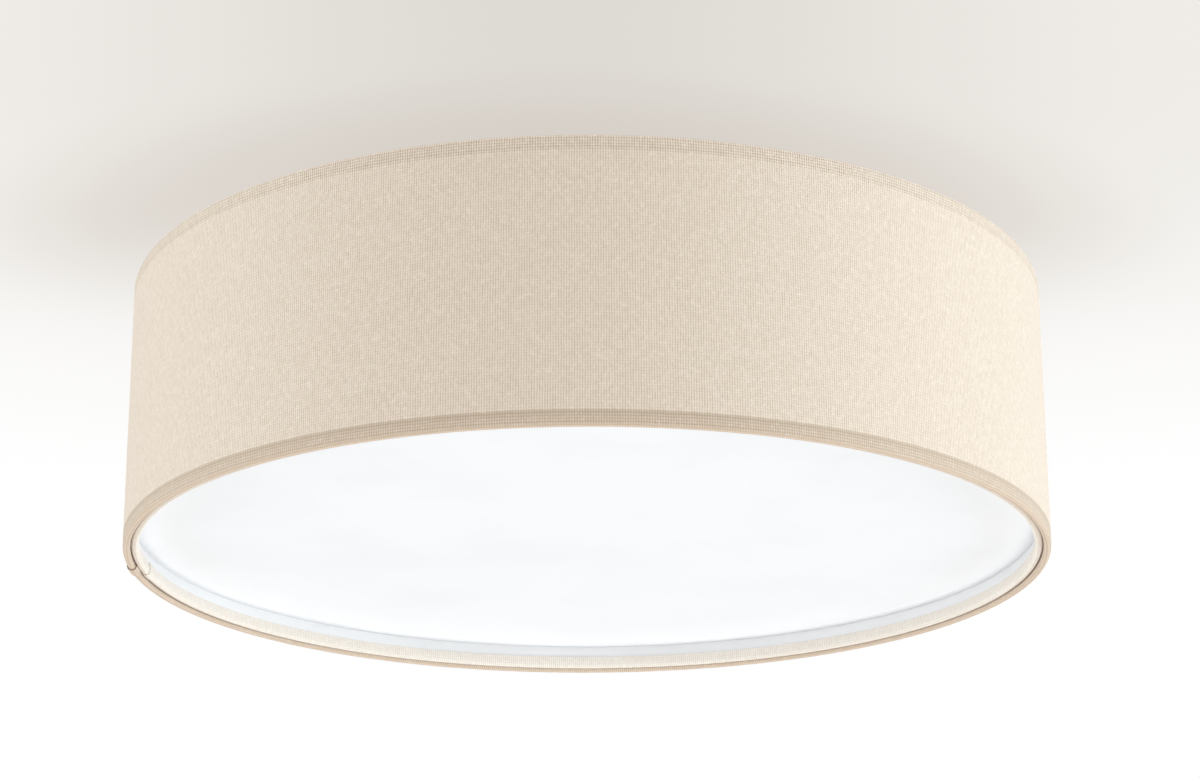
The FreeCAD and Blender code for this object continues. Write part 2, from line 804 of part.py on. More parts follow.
def make_bulb_housing(angle):
    """The moulded lower half of a bulb: a plug inside the cap and a flared body up to the globe."""
    plug = f"{P('cap_inner')} - {S('thread_clearance')}"
    neck = f"{P('cap_radius')} + {S('bulb_neck_step')}"
    neck_end = f"{P('cap_end')} + {S('bulb_neck_height')}"
    shoulder = f"({P('cap_end')} + {P('globe_edge')}) / 2"
    shoulder_radius = f"({neck} + {P('globe_edge_radius')}) / 2 + {S('bulb_shoulder_bulge')}"
    body = turned_body(
        f"BulbHousing{angle}",
        [("0", P("cap_floor")), (plug, P("cap_floor")), (plug, P("cap_end")), (neck, P("cap_end")),
         (neck, neck_end), (shoulder_radius, shoulder), (P("globe_edge_radius"), P("globe_edge")),
         ("0", P("globe_edge"))],
    )
    return aimed(body, angle)


def make_bulb_globe(angle):
    """The opal dome of a bulb, a thin ball cut off flat where it meets the housing."""
    centre = P("globe_centre")
    edge = P("globe_edge")
    body = turned_body(
        f"BulbGlobe{angle}",
        [(P("globe_edge_inner"), edge), (P("globe_edge_radius"), edge, "0", centre, "left"),
         ("0", P("bulb_end")), ("0", f"{P('bulb_end')} - {S('globe_wall')}", "0", centre, "right")],
    )
    return aimed(body, angle)


# Wiring ----------------------------------------------------------------------------------------------


def port_place(port):
    """Formula for how far to the side a lampholder wire's port lies."""
    return f"{S('port_pitch')} * ({port} - {(PORTS - 1) / 2})"


def supply_place(port):
    """Formula for how far to the side a supply port lies. These ports are twice as far apart."""
    return f"{S('port_pitch')} * 2 * ({port} - {(SUPPLY_PORTS - 1) / 2})"


def make_terminal_block():
    """The insulated block with six ports for the lampholder wires and three for the supply."""
    under = P("pan_under")
    main = block(
        "BlockBody",
        S("block_width"),
        S("block_length"),
        S("block_height"),
        P("block_near"),
        f"-{S('block_length')} / 2",
        f"{under} - {S('block_height')}",
    )
    ears = block(
        "BlockEars",
        S("block_width"),
        f"{S('block_length')} + 2 * {S('block_ear_length')}",
        S("block_ear_height"),
        P("block_near"),
        f"-{S('block_length')} / 2 - {S('block_ear_length')}",
        f"{under} - {S('block_ear_height')}",
    )
    tools = []
    for port in range(PORTS):
        y = port_place(port)
        tools.append(port_hole(f"Port{port}", y, P("block_near")))
        tools.append(screw_well(f"Well{port}", y, near_screw()))
    for port in range(SUPPLY_PORTS):
        y = supply_place(port)
        tools.append(port_hole(f"SupplyPort{port}", y, f"{P('block_far')} - {S('port_depth')}"))
        tools.append(screw_well(f"SupplyWell{port}", y, far_screw()))
    for index, side in enumerate(("", "-")):
        tools.append(
            cylinder(
                f"EarHole{index}",
                f"{S('block_screw_diameter')} / 2",
                f"2 * {S('block_ear_height')}",
                S("block_offset"),
                f"{side}{P('ear_middle')}",
                f"{under} - 1.5 * {S('block_ear_height')}",
            )
        )
    solid = joined("BlockSolid", [main, ears])
    keep(cut("TerminalBlock", solid, group("BlockHoles", tools)), "terminal_block")


def near_screw():
    """How far out the clamp screws on the lampholder side lie."""
    return f"{P('block_near')} + {S('port_depth')} / 2"


def far_screw():
    """How far out the clamp screws on the supply side lie."""
    return f"{P('block_far')} - {S('port_depth')} / 2"


def port_hole(name, y, x):
    """A blind wire hole in the block, lying along X."""
    item = cylinder(name, f"{S('port_diameter')} / 2", S("port_depth"), x, y, P("port_height"))
    item.Placement.Rotation = FreeCAD.Rotation(FreeCAD.Vector(0, 1, 0), 90)
    return item


def screw_well(name, y, x):
    """The well under a port that takes its clamp screw."""
    return cylinder(name, f"{S('clamp_screw_diameter')} / 2 + {S('thread_clearance')}",
                    f"{S('block_height')} / 2", x, y, f"{P('pan_under')} - {S('block_height')}")


def make_terminal_screws():
    """The slotted clamp screws in the block, from just inside its underside up to the wires."""
    screws = []
    low = f"{P('pan_under')} - {S('block_height')} + {S('clamp_screw_sink')}"
    length = f"{S('block_height')} / 2 - {S('clamp_screw_sink')} - {S('port_diameter')} / 2"
    radius = f"{S('clamp_screw_diameter')} / 2"
    spots = [(near_screw(), port_place(port)) for port in range(PORTS)]
    spots += [(far_screw(), supply_place(port)) for port in range(SUPPLY_PORTS)]
    for index, (x, y) in enumerate(spots):
        screw = cylinder(f"ClampScrew{index}", radius, length, x, y, low)
        slot = block(
            f"ClampSlot{index}",
            S("clamp_screw_diameter"),
            S("clamp_slot"),
            f"2 * {S('clamp_slot')}",
            f"{x} - {radius}",
            f"{y} - {S('clamp_slot')} / 2",
            f"{low} - {S('clamp_slot')}",
        )
        screws.append(cut(f"SlottedScrew{index}", screw, slot))
    keep(group("TerminalScrews", screws), "terminal_screws")


def make_block_screws():
    """The two pan-head screws that hold the block to the pan."""
    screws = []
    for index, side in enumerate(("", "-")):
        ear = f"{P('pan_under')} - {S('block_ear_height')}"
        shank = f"{S('block_screw_diameter')} / 2"
        head = f"{S('screw_head_diameter')} / 2"
        top = f"{S('screw_head_top')} / 2"
        low = f"{ear} - {S('screw_head_height')}"
        end = f"{P('pan_floor')} + {S('screw_past_pan')}"
        screw = turned_body(
            f"BlockScrew{index}",
            [("0", low), (top, low), (head, f"{ear} - {S('screw_head_height')} / 2"), (head, ear),
             (shank, ear), (shank, end), ("0", end)],
        )
        move(screw, S("block_offset"), f"{side}{P('ear_middle')}", "0")
        screws.append(screw)
    keep(group("BlockScrews", screws), "block_screws")


def make_earth_terminal():
    """The earth screw through the pan, with its head under the wire's ring lug."""
    shank = f"{S('earth_screw_diameter')} / 2"
    lug_low = f"{P('pan_under')} - {S('lug_sheet')}"
    prism = padded_body(
        "EarthHead",
        "XY_Plane",
        hexagon(S("earth_head_diameter")),
        S("earth_head_height"),
        f"{lug_low} - {S('earth_head_height')}",
    )
    inside = f"{S('earth_head_height')} / 2"
    rod = cylinder(
        "EarthShank",
        shank,
        f"{inside} + {S('lug_sheet')} + {S('pan_sheet')} + {S('screw_past_pan')}",
        "0",
        "0",
        f"{lug_low} - {inside}",
    )
    screw = joined("EarthTerminal", [prism, rod])
    move(screw, S("earth_offset"), S("earth_side"), "0")
    keep(screw, "earth_terminal")


def rounded_path(points):
    """A wire path: straight runs joined by tangent arcs, each as large as its two runs allow."""
    share = value(S("bend_share"))
    edges = []
    start = points[0]
    for index in range(1, len(points) - 1):
        before = points[index - 1] - points[index]
        after = points[index + 1] - points[index]
        reach = share * min(before.Length, after.Length)
        before.normalize()
        after.normalize()
        enter = points[index] + before * reach
        leave = points[index] + after * reach
        bisector = before + after
        bisector.normalize()
        half_turn = (math.pi - before.getAngle(after)) / 2
        radius = reach / math.tan(half_turn)
        centre = points[index] + bisector * math.hypot(reach, radius)
        middle = centre - bisector * radius
        edges.append(Part.LineSegment(start, enter).toShape())
        edges.append(Part.Arc(enter, middle, leave).toShape())
        start = leave
        print(f"  bend {index}: radius {radius:.1f} mm")
    edges.append(Part.LineSegment(start, points[-1]).toShape())
    return Part.Wire(edges)


def insulated_wire(points):
    """A round wire along a rounded path."""
    radius = value(S("wire_diameter")) / 2
    path = rounded_path(points)
    tangent = points[1] - points[0]
    section = Part.Wire(Part.makeCircle(radius, points[0], tangent))
    tube = path.makePipeShell([section], True, False)
    filled = tube.Volume / (math.pi * radius ** 2 * path.Length)
    print(f"  wire {path.Length:.1f} mm, volume over section times length {filled:.4f}")
    return tube


def holder_wire(angle, side, port):
    """One wire from a lampholder's spigot to a port of the block."""
    out = FreeCAD.Vector(math.cos(math.radians(angle)), math.sin(math.radians(angle)), 0)
    across = FreeCAD.Vector(-out.y, out.x, 0)
    axis = FreeCAD.Vector(0, 0, value(P("axis_height")))
    shift = across * (side * (value(S("wire_diameter")) / 2 + value(S("wire_spread"))))
    y = value(port_place(port))
    port_height = value(P("port_height"))
    near = value(P("block_near"))
    mouth = FreeCAD.Vector(near, y, port_height)
    inside = out * value(P("spigot_bore_end")) + axis + shift
    leaving = out * (value(P("spigot_end")) - value(S("wire_exit"))) + axis + shift
    entering = mouth - FreeCAD.Vector(value(S("wire_run_in")), 0, 0)
    seat = mouth + FreeCAD.Vector(value(S("wire_insertion")), 0, 0)
    return insulated_wire([inside, leaving, entering, seat])


def make_wires():
    """The live and the neutral wires, one of each per lampholder."""
    ports = {60: (5, 4), 180: (3, 2), 300: (1, 0)}
    for node, index in (("live_wires", 0), ("neutral_wires", 1)):
        print(node)
        solids = []
        for angle in HOLDER_ANGLES:
            facing = 1 if math.cos(math.radians(angle)) > 0 else -1
            solids.append(holder_wire(angle, -facing if index else facing, ports[angle][index]))
        feature = doc.addObject("Part::Feature", node)
        feature.Shape = Part.makeCompound(solids)
        feature.Placement = FreeCAD.Placement()
        keep(feature, node)


def make_earth_wire():
    """The earth wire from the block's middle supply port to the ring lug on the earth screw."""
    print("earth_wire")
    far = value(P("block_far"))
    height = value(P("port_height"))
    lug_low = value(f"{P('pan_under')} - {S('lug_sheet')}")
    post = FreeCAD.Vector(value(S("earth_offset")), value(S("earth_side")), lug_low)
    seat = FreeCAD.Vector(far - value(S("wire_insertion")), 0, height)
    leaving = FreeCAD.Vector(far + value(S("earth_wire_exit")), 0, height)
    radius = value(S("wire_diameter")) / 2
    lug_radius = value(S("lug_diameter")) / 2
    tongue_height = value(S("lug_tongue_height"))
    wire_height = tongue_height - radius / 2
    touching = post + FreeCAD.Vector(0, -lug_radius - value(S("glue_line")), -wire_height)
    under_lug = touching - FreeCAD.Vector(0, value(S("earth_wire_run_in")), 0)
    wire = insulated_wire([seat, leaving, under_lug, touching])
    ring = Part.makeCylinder(lug_radius, value(S("lug_sheet")), post)
    bore = Part.makeCylinder(value(S("earth_screw_diameter")) / 2, value(S("lug_sheet")), post)
    tongue_start = -lug_radius - value(S("lug_tongue_start"))
    tongue_corner = post + FreeCAD.Vector(-radius, tongue_start, radius / 2 - tongue_height)
    tongue = Part.makeBox(2 * radius, value(S("lug_tongue_length")), tongue_height, tongue_corner)
    feature = doc.addObject("Part::Feature", "EarthWire")
    feature.Shape = wire.fuse([tongue, ring.cut(bore)]).removeSplitter()
    feature.Placement = FreeCAD.Placement()
    keep(feature, "earth_wire")


# Shade -----------------------------------------------------------------------------------------------


def make_shade_fabric():
    """The drum's fabric: the wall, rolled round the ring wires at both ends and turned back inside."""
    ring = P("ring_radius")
    roll = P("roll_radius")
    wire = P("wire_seat")
    hem_out = P("hem_outer")
    hem_in = P("hem_inner")
    low = P("bottom_ring_height")
    high = P("top_ring_height")
    low_kink = f"{low} + {wire}"
    low_flat = f"{low_kink} + {S('hem_slope')}"
    low_end = f"{P('shade_bottom')} + {S('hem_depth')}"
    high_kink = f"{high} - {wire}"
    high_flat = f"{high_kink} - {S('hem_slope')}"
    high_end = f"{P('shade_top')} - {S('hem_depth')}"
    body = turned_body(
        "ShadeFabric",
        [(P("wall_radius"), high), (P("wall_radius"), low, ring, low, "right"), (f"{ring} - {roll}", low),
         (f"{ring} - {roll}", low_kink), (hem_in, low_flat), (hem_in, low_end), (hem_out, low_end),
         (hem_out, low_flat), (f"{ring} - {wire}", low_kink), (f"{ring} - {wire}", low, ring, low, "left"),
         (f"{ring} + {wire}", low), (f"{ring} + {wire}", high, ring, high, "left"),
         (f"{ring} - {wire}", high), (f"{ring} - {wire}", high_kink), (hem_out, high_flat),
         (hem_out, high_end), (hem_in, high_end), (hem_in, high_flat), (f"{ring} - {roll}", high_kink),
         (f"{ring} - {roll}", high, ring, high, "right")],
    )
    notch = S("hem_notch_clearance")
    half = f"({S('arm_width')} / 2 + {notch})"
    tools = []
    inner = f"({ring} - {roll} - {notch})"
    low_notch = f"{high} - {S('arm_sheet')} / 2 - {notch}"
    for angle in THREES:
        x = f"{inner} * cos({angle} deg) + {half} * sin({angle} deg)"
        y = f"{inner} * sin({angle} deg) - {half} * cos({angle} deg)"
        item = block(
            f"HemNotch{angle}",
            f"{roll} + {notch}",
            f"2 * {half}",
            f"{S('arm_sheet')} + 2 * {notch}",
            x,
            y,
            low_notch,
        )
        item.Placement.Rotation = FreeCAD.Rotation(FreeCAD.Vector(0, 0, 1), angle)
        tools.append(item)
    keep(cut("ShadeFabricNotched", body, group("HemNotches", tools)), "shade_fabric")


def make_shade_lining():
    """The stiff white lining that the fabric is laminated to, between the two wire rings."""
    low = f"{P('bottom_ring_height')} + {P('wire_radius')} + {S('lining_clearance')}"
    high = f"{P('top_ring_height')} - {P('wire_radius')} - {S('lining_clearance')}"
    body = turned_body(
        "ShadeLining",
        [(P("lining_inner"), low), (P("lining_outer"), low), (P("lining_outer"), high),
         (P("lining_inner"), high)],
    )
    keep(body, "shade_lining")


def make_wire_ring(name, node, ring, wire, height):
    """A round ring bent from wire."""
    item = doc.addObject("Part::Torus", name)
    item.setExpression("Radius1", ring)
    item.setExpression("Radius2", wire)
    move(item, "0", "0", height)
    keep(item, node)


def make_shade_arm(angle):
    """A flat steel arm: level at the top ring, sloped down past the pan, level again under it."""
    outer = P("arm_outer_end")
    knee = f"{outer} - {S('arm_outer_flat')}"
    heel = f"{knee} - {S('arm_slope_run')}"
    inner = P("arm_inner_end")
    half = f"{S('arm_sheet')} / 2"
    high = P("top_ring_height")
    low = f"{P('pan_under')} - {half}"
    body = doc.addObject("PartDesign::Body", f"ShadeArm{angle}")
    sketch = blank_sketch(body, f"ShadeArmSide{angle}", "XZ_Plane", f"-{S('arm_width')} / 2")
    outline(
        sketch,
        [(outer, f"{high} + {half}"), (knee, f"{high} + {half}"), (heel, f"{low} + {half}"),
         (inner, f"{low} + {half}"), (inner, f"{low} - {half}"), (heel, f"{low} - {half}"),
         (knee, f"{high} - {half}"), (outer, f"{high} - {half}")],
    )
    pad = body.newObject("PartDesign::Pad", f"ShadeArmPad{angle}")
    pad.Profile = sketch
    pad.setExpression("Length", S("arm_width"))
    stud = blank_sketch(body, f"ShadeArmStud{angle}", "XY_Plane")
    hole(stud, P("stud_radius"), "0", f"{S('shade_stud_diameter')} / 2 + {S('stud_hole_clearance')}")
    pocket(body, f"ShadeArmHole{angle}", stud)
    return turned(body, angle)


def make_magnet_tab(angle):
    """A steel angle glued to the lining. Its level leg lies over a magnet of the diffuser."""
    high = f"{P('magnet_top')} + {S('tab_sheet')}"
    leg_end = f"{P('magnet_top')} + {S('tab_leg')}"
    outer = P("tab_outer")
    body = doc.addObject("PartDesign::Body", f"MagnetTab{angle}")
    sketch = blank_sketch(body, f"MagnetTabSide{angle}", "XZ_Plane", f"-{S('tab_width')} / 2")
    outline(
        sketch,
        [(P("tab_inner"), P("magnet_top")), (outer, P("magnet_top")), (outer, leg_end),
         (f"{outer} - {S('tab_sheet')}", leg_end), (f"{outer} - {S('tab_sheet')}", high),
         (P("tab_inner"), high)],
    )
    pad = body.newObject("PartDesign::Pad", f"MagnetTabPad{angle}")
    pad.Profile = sketch
    pad.setExpression("Length", S("tab_width"))
    return turned(body, angle)


def make_thumb_nut(angle):
    """A knurled nut under an arm, turned by hand: a grooved disc with a smaller collar below."""
    radius = f"{S('thumb_nut_diameter')} / 2"
    bore = f"{S('shade_stud_diameter')} / 2 + {S('thread_clearance')}"
    top = P("arm_under")
    edge = S("thumb_nut_edge")
    rim = f"{top} - {S('thumb_nut_rim_height')}"
    low = f"{top} - {S('thumb_nut_height')}"
    collar = f"{S('thumb_nut_collar')} / 2"
    solid = turned_body(
        f"ThumbNutBlank{angle}",
        [(bore, top), (f"{radius} - {edge}", top), (radius, f"{top} - {edge}"), (radius, f"{rim} + {edge}"),
         (f"{radius} - {edge}", rim), (collar, rim), (collar, low), (bore, low)],
    )
    grooves = []
    count = int(value(S("thumb_nut_grooves")))
    for index in range(count):
        x, y = polar(f"{radius} + {S('thumb_nut_groove_offset')}", 360 * index / count)
        grooves.append(
            cylinder(
                f"Groove{angle}_{index}",
                S("thumb_nut_groove_radius"),
                f"2 * {S('thumb_nut_height')}",
                x,
                y,
                f"{low} - {S('thumb_nut_height')} / 2",
            )
        )
    nut = cut(f"ThumbNut{angle}", solid, group(f"Grooves{angle}", grooves))
    x, y = polar(P("stud_radius"), angle)
    move(nut, x, y, "0")
    return nut


# Insert with the diffuser ------------------------------------------------------------------------------


def make_insert_fabric():
    """The insert's fabric: a short wall, rolled round its ring wire and turned back inside."""
    ring = P("insert_ring_radius")
    roll = P("insert_roll_radius")
    wire = P("insert_wire_seat")
    low = P("insert_ring_height")
    kink = f"{low} + {wire}"
    lean = f"{ring} - {roll} + {S('insert_hem_lean')}"
    hem_end = f"{P('insert_bottom')} + {S('insert_hem_depth')}"
    top = f"{P('disc_top')} + {S('insert_top_lip')}"
    body = turned_body(
        "InsertFabric",
        [(P("insert_radius"), top), (P("insert_radius"), low, ring, low, "right"), (f"{ring} - {roll}", low),
         (f"{ring} - {roll}", kink), (lean, hem_end), (f"{lean} + {S('fabric_thickness')}", hem_end),
         (f"{ring} - {wire}", kink), (f"{ring} - {wire}", low, ring, low, "left"), (f"{ring} + {wire}", low),
         (P("insert_wall_inner"), top)],
        CLOTH_SECTORS,
    )
    keep(body, "insert_fabric")


def make_insert_lining():
    """The white strip inside the insert's fabric. The diffuser stands on its upper edge."""
    low = f"{P('insert_ring_height')} + {P('insert_wire_radius')} + {S('lining_clearance')}"
    body = turned_body(
        "InsertLining",
        [(P("insert_lining_inner"), low), (P("insert_lining_outer"), low),
         (P("insert_lining_outer"), P("disc_bottom")), (P("insert_lining_inner"), P("disc_bottom"))],
    )
    keep(body, "insert_lining")


def make_diffuser():
    """The opal disc and the three magnets on its upper face."""
    thickness = S("diffuser_thickness")
    disc = cylinder("DiffuserDisc", P("insert_lining_outer"), thickness, "0", "0", P("disc_bottom"))
    keep(disc, "diffuser_disc")
    magnets = []
    radius = f"{S('magnet_diameter')} / 2"
    for angle in THREES:
        x, y = polar(P("magnet_radius"), angle)
        magnets.append(cylinder(f"Magnet{angle}", radius, S("magnet_height"), x, y, P("disc_top")))
    keep(group("Magnets", magnets), "diffuser_magnets")


def build():
    """Make every sub-part in the order in which the light is put together."""
    make_mounting_bar()
    make_bar_studs()
    make_cap_nuts()
    make_ceiling_pan()
    make_cable_grommet()
    make_shade_studs()
    make_rivets()
    for number, angle in enumerate(HOLDER_ANGLES, 1):
        keep(make_lampholder_bracket(angle), f"lampholder_bracket_{number}")
        keep(make_lampholder(angle), f"lampholder_{number}")
        keep(make_ring_nut(angle), f"lampholder_nut_{number}")
        keep(make_contact_shell(angle), f"contact_shell_{number}")
        keep(make_centre_contact(angle), f"centre_contact_{number}")
        keep(make_bulb_tip(angle), f"bulb_tip_{number}")
        keep(make_bulb_cap(angle), f"bulb_cap_{number}")
        keep(make_bulb_housing(angle), f"bulb_housing_{number}")
        keep(make_bulb_globe(angle), f"bulb_globe_{number}")
    make_terminal_block()
    make_terminal_screws()
    make_block_screws()
    make_earth_terminal()
    make_wires()
    make_earth_wire()
    make_shade_fabric()
    make_shade_lining()
    make_wire_ring("TopRing", "top_wire_ring", P("ring_radius"), P("wire_radius"), P("top_ring_height"))
    make_wire_ring(
        "BottomRing", "bottom_wire_ring", P("ring_radius"), P("wire_radius"), P("bottom_ring_height")
    )
    for number, angle in enumerate(THREES, 1):
        keep(make_shade_arm(angle), f"shade_arm_{number}")
        keep(make_magnet_tab(angle), f"magnet_tab_{number}")
        keep(make_thumb_nut(angle), f"thumb_nut_{number}")
    make_insert_fabric()
    make_insert_lining()
    make_wire_ring("InsertRing", "insert_wire_ring", P("insert_ring_radius"), P("insert_wire_radius"),
                   P("insert_ring_height"))
    make_diffuser()


def check():
    """Stop if any object failed or any sub-part has no sound solid."""
    doc.recompute()
    for item in doc.Objects:
        if "Invalid" in item.State or "Error" in item.State:
            raise RuntimeError(f"{item.Label} failed: {item.State}")
    for item in nodes:
        if item.Shape.isNull() or not item.Shape.isValid() or not item.Shape.Solids:
            raise RuntimeError(f"{item.Label} has no valid solid")


build()
check()
os.makedirs("parts", exist_ok=True)
for item in nodes:
    item.Shape.exportStep(f"parts/{item.Label}.step")
    print(f"{item.Label}: {len(item.Shape.Solids)} solid(s), {item.Shape.Volume / 1000:.2f} cm3")
print(f"{len(nodes)} nodes")
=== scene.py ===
"""Looks of a flush mount ceiling light: a cream fabric drum with an opal diffuser, hung under a ceiling pan.

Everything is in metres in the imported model's own frame: the origin is the light's centre on the ceiling
plane, +Z points up and the light hangs below. Each class is one sub-assembly or one finish.
"""

import logging
import math
from dataclasses import dataclass, replace
from enum import Enum
from typing import Callable, Sequence

import bmesh
import bpy
from mathutils import Matrix, Vector


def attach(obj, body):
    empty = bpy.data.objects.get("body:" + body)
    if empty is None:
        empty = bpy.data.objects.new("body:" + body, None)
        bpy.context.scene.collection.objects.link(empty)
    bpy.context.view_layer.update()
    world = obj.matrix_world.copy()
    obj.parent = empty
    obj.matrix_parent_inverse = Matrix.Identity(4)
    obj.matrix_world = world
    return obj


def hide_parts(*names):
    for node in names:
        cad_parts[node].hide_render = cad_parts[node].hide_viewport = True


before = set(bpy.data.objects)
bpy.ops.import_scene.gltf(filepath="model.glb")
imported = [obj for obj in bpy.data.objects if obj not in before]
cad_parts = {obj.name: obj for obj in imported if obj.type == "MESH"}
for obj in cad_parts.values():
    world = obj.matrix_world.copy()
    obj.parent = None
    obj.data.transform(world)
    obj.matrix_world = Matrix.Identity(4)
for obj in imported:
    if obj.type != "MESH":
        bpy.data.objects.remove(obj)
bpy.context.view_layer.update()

LOG = logging.getLogger("ceiling_light")
MM = 0.001

FLAT_MAP = "cloth"
AXIS_RADIUS = 1e-7
TURNED_EDGE = 35
CLOTH_EDGE = 50

COOL_TINT = (0.77, 0.91, 1.0)
WHITE_TINT = (0.93, 0.955, 1.0)

Colour = tuple[float, float, float]
Point = tuple[float, float, float]
Pair = tuple[float, float]
Ramp = tuple[float, float, float, float]
Wave = tuple[float, float, float, float]
Outline = list[Pair]
Socket = bpy.types.NodeSocket
Source = Socket | float | Colour


class Slot(Enum):
    """Names of material slots; nothing in this script reads them."""

    SHADE_FABRIC = "shade_fabric"
    INSERT_FABRIC = "insert_fabric"
    GLOBE = "opal_globe"
    BULB_PLASTIC = "bulb_plastic"
    CAP = "cap_nickel"
    HOLDER = "holder_plastic"


class Body(Enum):
    """The moving bodies that pieces ride on."""

    CEILING_UNIT = "ceiling_unit"
    SHADE = "shade"
    DIFFUSER = "diffuser"


def srgb(red: float, green: float, blue: float) -> Colour:
    """Turn a colour given as 0 to 255 into the linear values that shaders take.

    Args:
        red: Red, 0 to 255.
        green: Green, 0 to 255.
        blue: Blue, 0 to 255.

    Returns:
        The linear colour.
    """
    shares = (red / 255, green / 255, blue / 255)
    return tuple(share / 12.92 if share <= 0.04045 else ((share + 0.055) / 1.055) ** 2.4 for share in shares)


def smooth(share: float) -> float:
    """A share from 0 to 1, eased at both ends."""
    return share * share * (3 - 2 * share)


# Shader graphs --------------------------------------------------------------------------------------


class Graph:
    """The nodes of one material or world, added and linked one call at a time.

    A mix node for colours has its two colours and its result at the places named here.
    """

    FIRST_COLOUR = 6
    SECOND_COLOUR = 7
    MIXED_COLOUR = 2

    def __init__(self, tree: bpy.types.NodeTree) -> None:
        """Work on a node tree."""
        self.tree = tree

    def node(self, kind: str, *sources: Source, **settings: object) -> bpy.types.Node:
        """Add a node, set its properties and feed its first inputs.

        Args:
            kind: The node's type name.
            *sources: What its inputs take, in order.
            **settings: Its properties by name.

        Returns:
            The new node.
        """
        made = self.tree.nodes.new(kind)
        for name, setting in settings.items():
            setattr(made, name, setting)
        for socket, source in zip(made.inputs, sources):
            self.feed(socket, source)
        return made

    def feed(self, socket: Socket, source: Source) -> None:
        """Give a socket a link or a constant.

        Args:
            socket: The input socket.
            source: Another node's output, a number or a colour.
        """
        if isinstance(source, Socket):
            self.tree.links.new(source, socket)
        elif isinstance(source, tuple) and socket.type == "RGBA":
            socket.default_value = (*source, 1.0)
        else:
            socket.default_value = source

    def math(self, operation: str, *values: Source) -> Socket:
        """Work out a number from up to three others."""
        return self.node("ShaderNodeMath", *values, operation=operation).outputs[0]

    def between(self, share: Source, low: float, high: float) -> Socket:
        """A number that goes evenly from low, at a share of 0, to high, at 1."""
        return self.math("MULTIPLY_ADD", share, high - low, low)

    def ramp(self, source: Source, low: float, high: float, start: float = 0, stop: float = 1) -> Socket:
        """Map a number smoothly from one range to another, and hold it there.

        Args:
            source: The number.
            low: The value that gives start.
            high: The value that gives stop.
            start: Result at low.
            stop: Result at high.

        Returns:
            The mapped number's socket.
        """
        values = (source, low, high, start, stop)
        return self.node("ShaderNodeMapRange", *values, interpolation_type="SMOOTHSTEP").outputs[0]

    def mix(self, share: Source, first: Source, second: Source) -> Socket:
        """Blend two colours.

        Args:
            share: How much of the second. The node holds it between 0 and 1.
            first: The first colour.
            second: The second colour.

        Returns:
            The blended colour's socket.
        """
        made = self.node("ShaderNodeMix", share, data_type="RGBA")
        self.feed(made.inputs[self.FIRST_COLOUR], first)
        self.feed(made.inputs[self.SECOND_COLOUR], second)
        return made.outputs[self.MIXED_COLOUR]

    def mottle(self, share: Source, colour: Colour, keep: float) -> Socket:
        """Blend a colour with a darker shade of itself, which keeps only a part of its light."""
        return self.mix(share, colour, tuple(channel * keep for channel in colour))

    def place(self) -> Socket:
        """The point of the surface in the object's own frame."""
        return self.node("ShaderNodeTexCoord").outputs["Object"]

    def split(self, where: Socket) -> tuple[Socket, ...]:
        """The three parts of a coordinate."""
        return tuple(self.node("ShaderNodeSeparateXYZ", where).outputs)

    def noise(self, where: Source, scale: float, detail: float) -> Socket:
        """A soft random value, 0 to 1.

        Args:
            where: The coordinate's socket.
            scale: Cells per metre.
            detail: How many finer layers it has.

        Returns:
            The value's socket.
        """
        made = self.node("ShaderNodeTexNoise", where)
        self.feed(made.inputs["Scale"], scale)
        self.feed(made.inputs["Detail"], detail)
        return made.outputs["Fac"]


class Surface(Graph):
    """The nodes of a new material, round its plain Principled shader."""

    def __init__(self, name: str) -> None:
        """Start the material.

        Args:
            name: The material's name.
        """
        self.material = bpy.data.materials.new(name)
        self.material.use_nodes = True
        super().__init__(self.material.node_tree)
        self.shader = self.tree.nodes["Principled BSDF"]

    def bump(self, height: Socket, depth: float, strength: float) -> None:
        """Raise the surface's shading by a height.

        Args:
            height: The height's socket, 0 to 1.
            depth: What 1 stands for, in metres.
            strength: How much of it shows.
        """
        made = self.node("ShaderNodeBump", strength, depth)
        self.feed(made.inputs["Height"], height)
        self.feed(self.shader.inputs["Normal"], made.outputs[0])

    def set(self, **values: Source) -> None:
        """Feed the shader's own sockets. An underscore in a name stands for a space.

        Args:
            **values: Sockets, numbers or colours by input name.
        """
        for name, source in values.items():
            self.feed(self.shader.inputs[name.replace("_", " ")], source)


# Finishes --------------------------------------------------------------------------------------------


class Finish:
    """A finish, which paints the surface of a new material."""

    def material(self, name: str) -> bpy.types.Material:
        """Build a material with this finish.

        Args:
            name: The material's name.

        Returns:
            The material.
        """
        surface = Surface(name)
        self.paint(surface)
        return surface.material

    def paint(self, surface: Surface) -> None:
        """Set up the surface. Each finish has its own way."""
        raise NotImplementedError


@dataclass(frozen=True)
class HemAndShadowBand:
    """A band across the cloth, from its border towards the rim.

    As a hem it shows where the cloth lies double, darker partly by the doubled cloth's own tone and partly by
    painted shade, and is fainter past the rim. As a gap shadow it is a painted shadow just past the rim,
    where the cloth turns into a narrow gap.
    """

    border: float
    rim: float
    shade: float

    def way(self) -> float:
        """1 where the band runs up the cloth's cut height, and -1 where it runs down."""
        return 1.0 if self.rim > self.border else -1.0


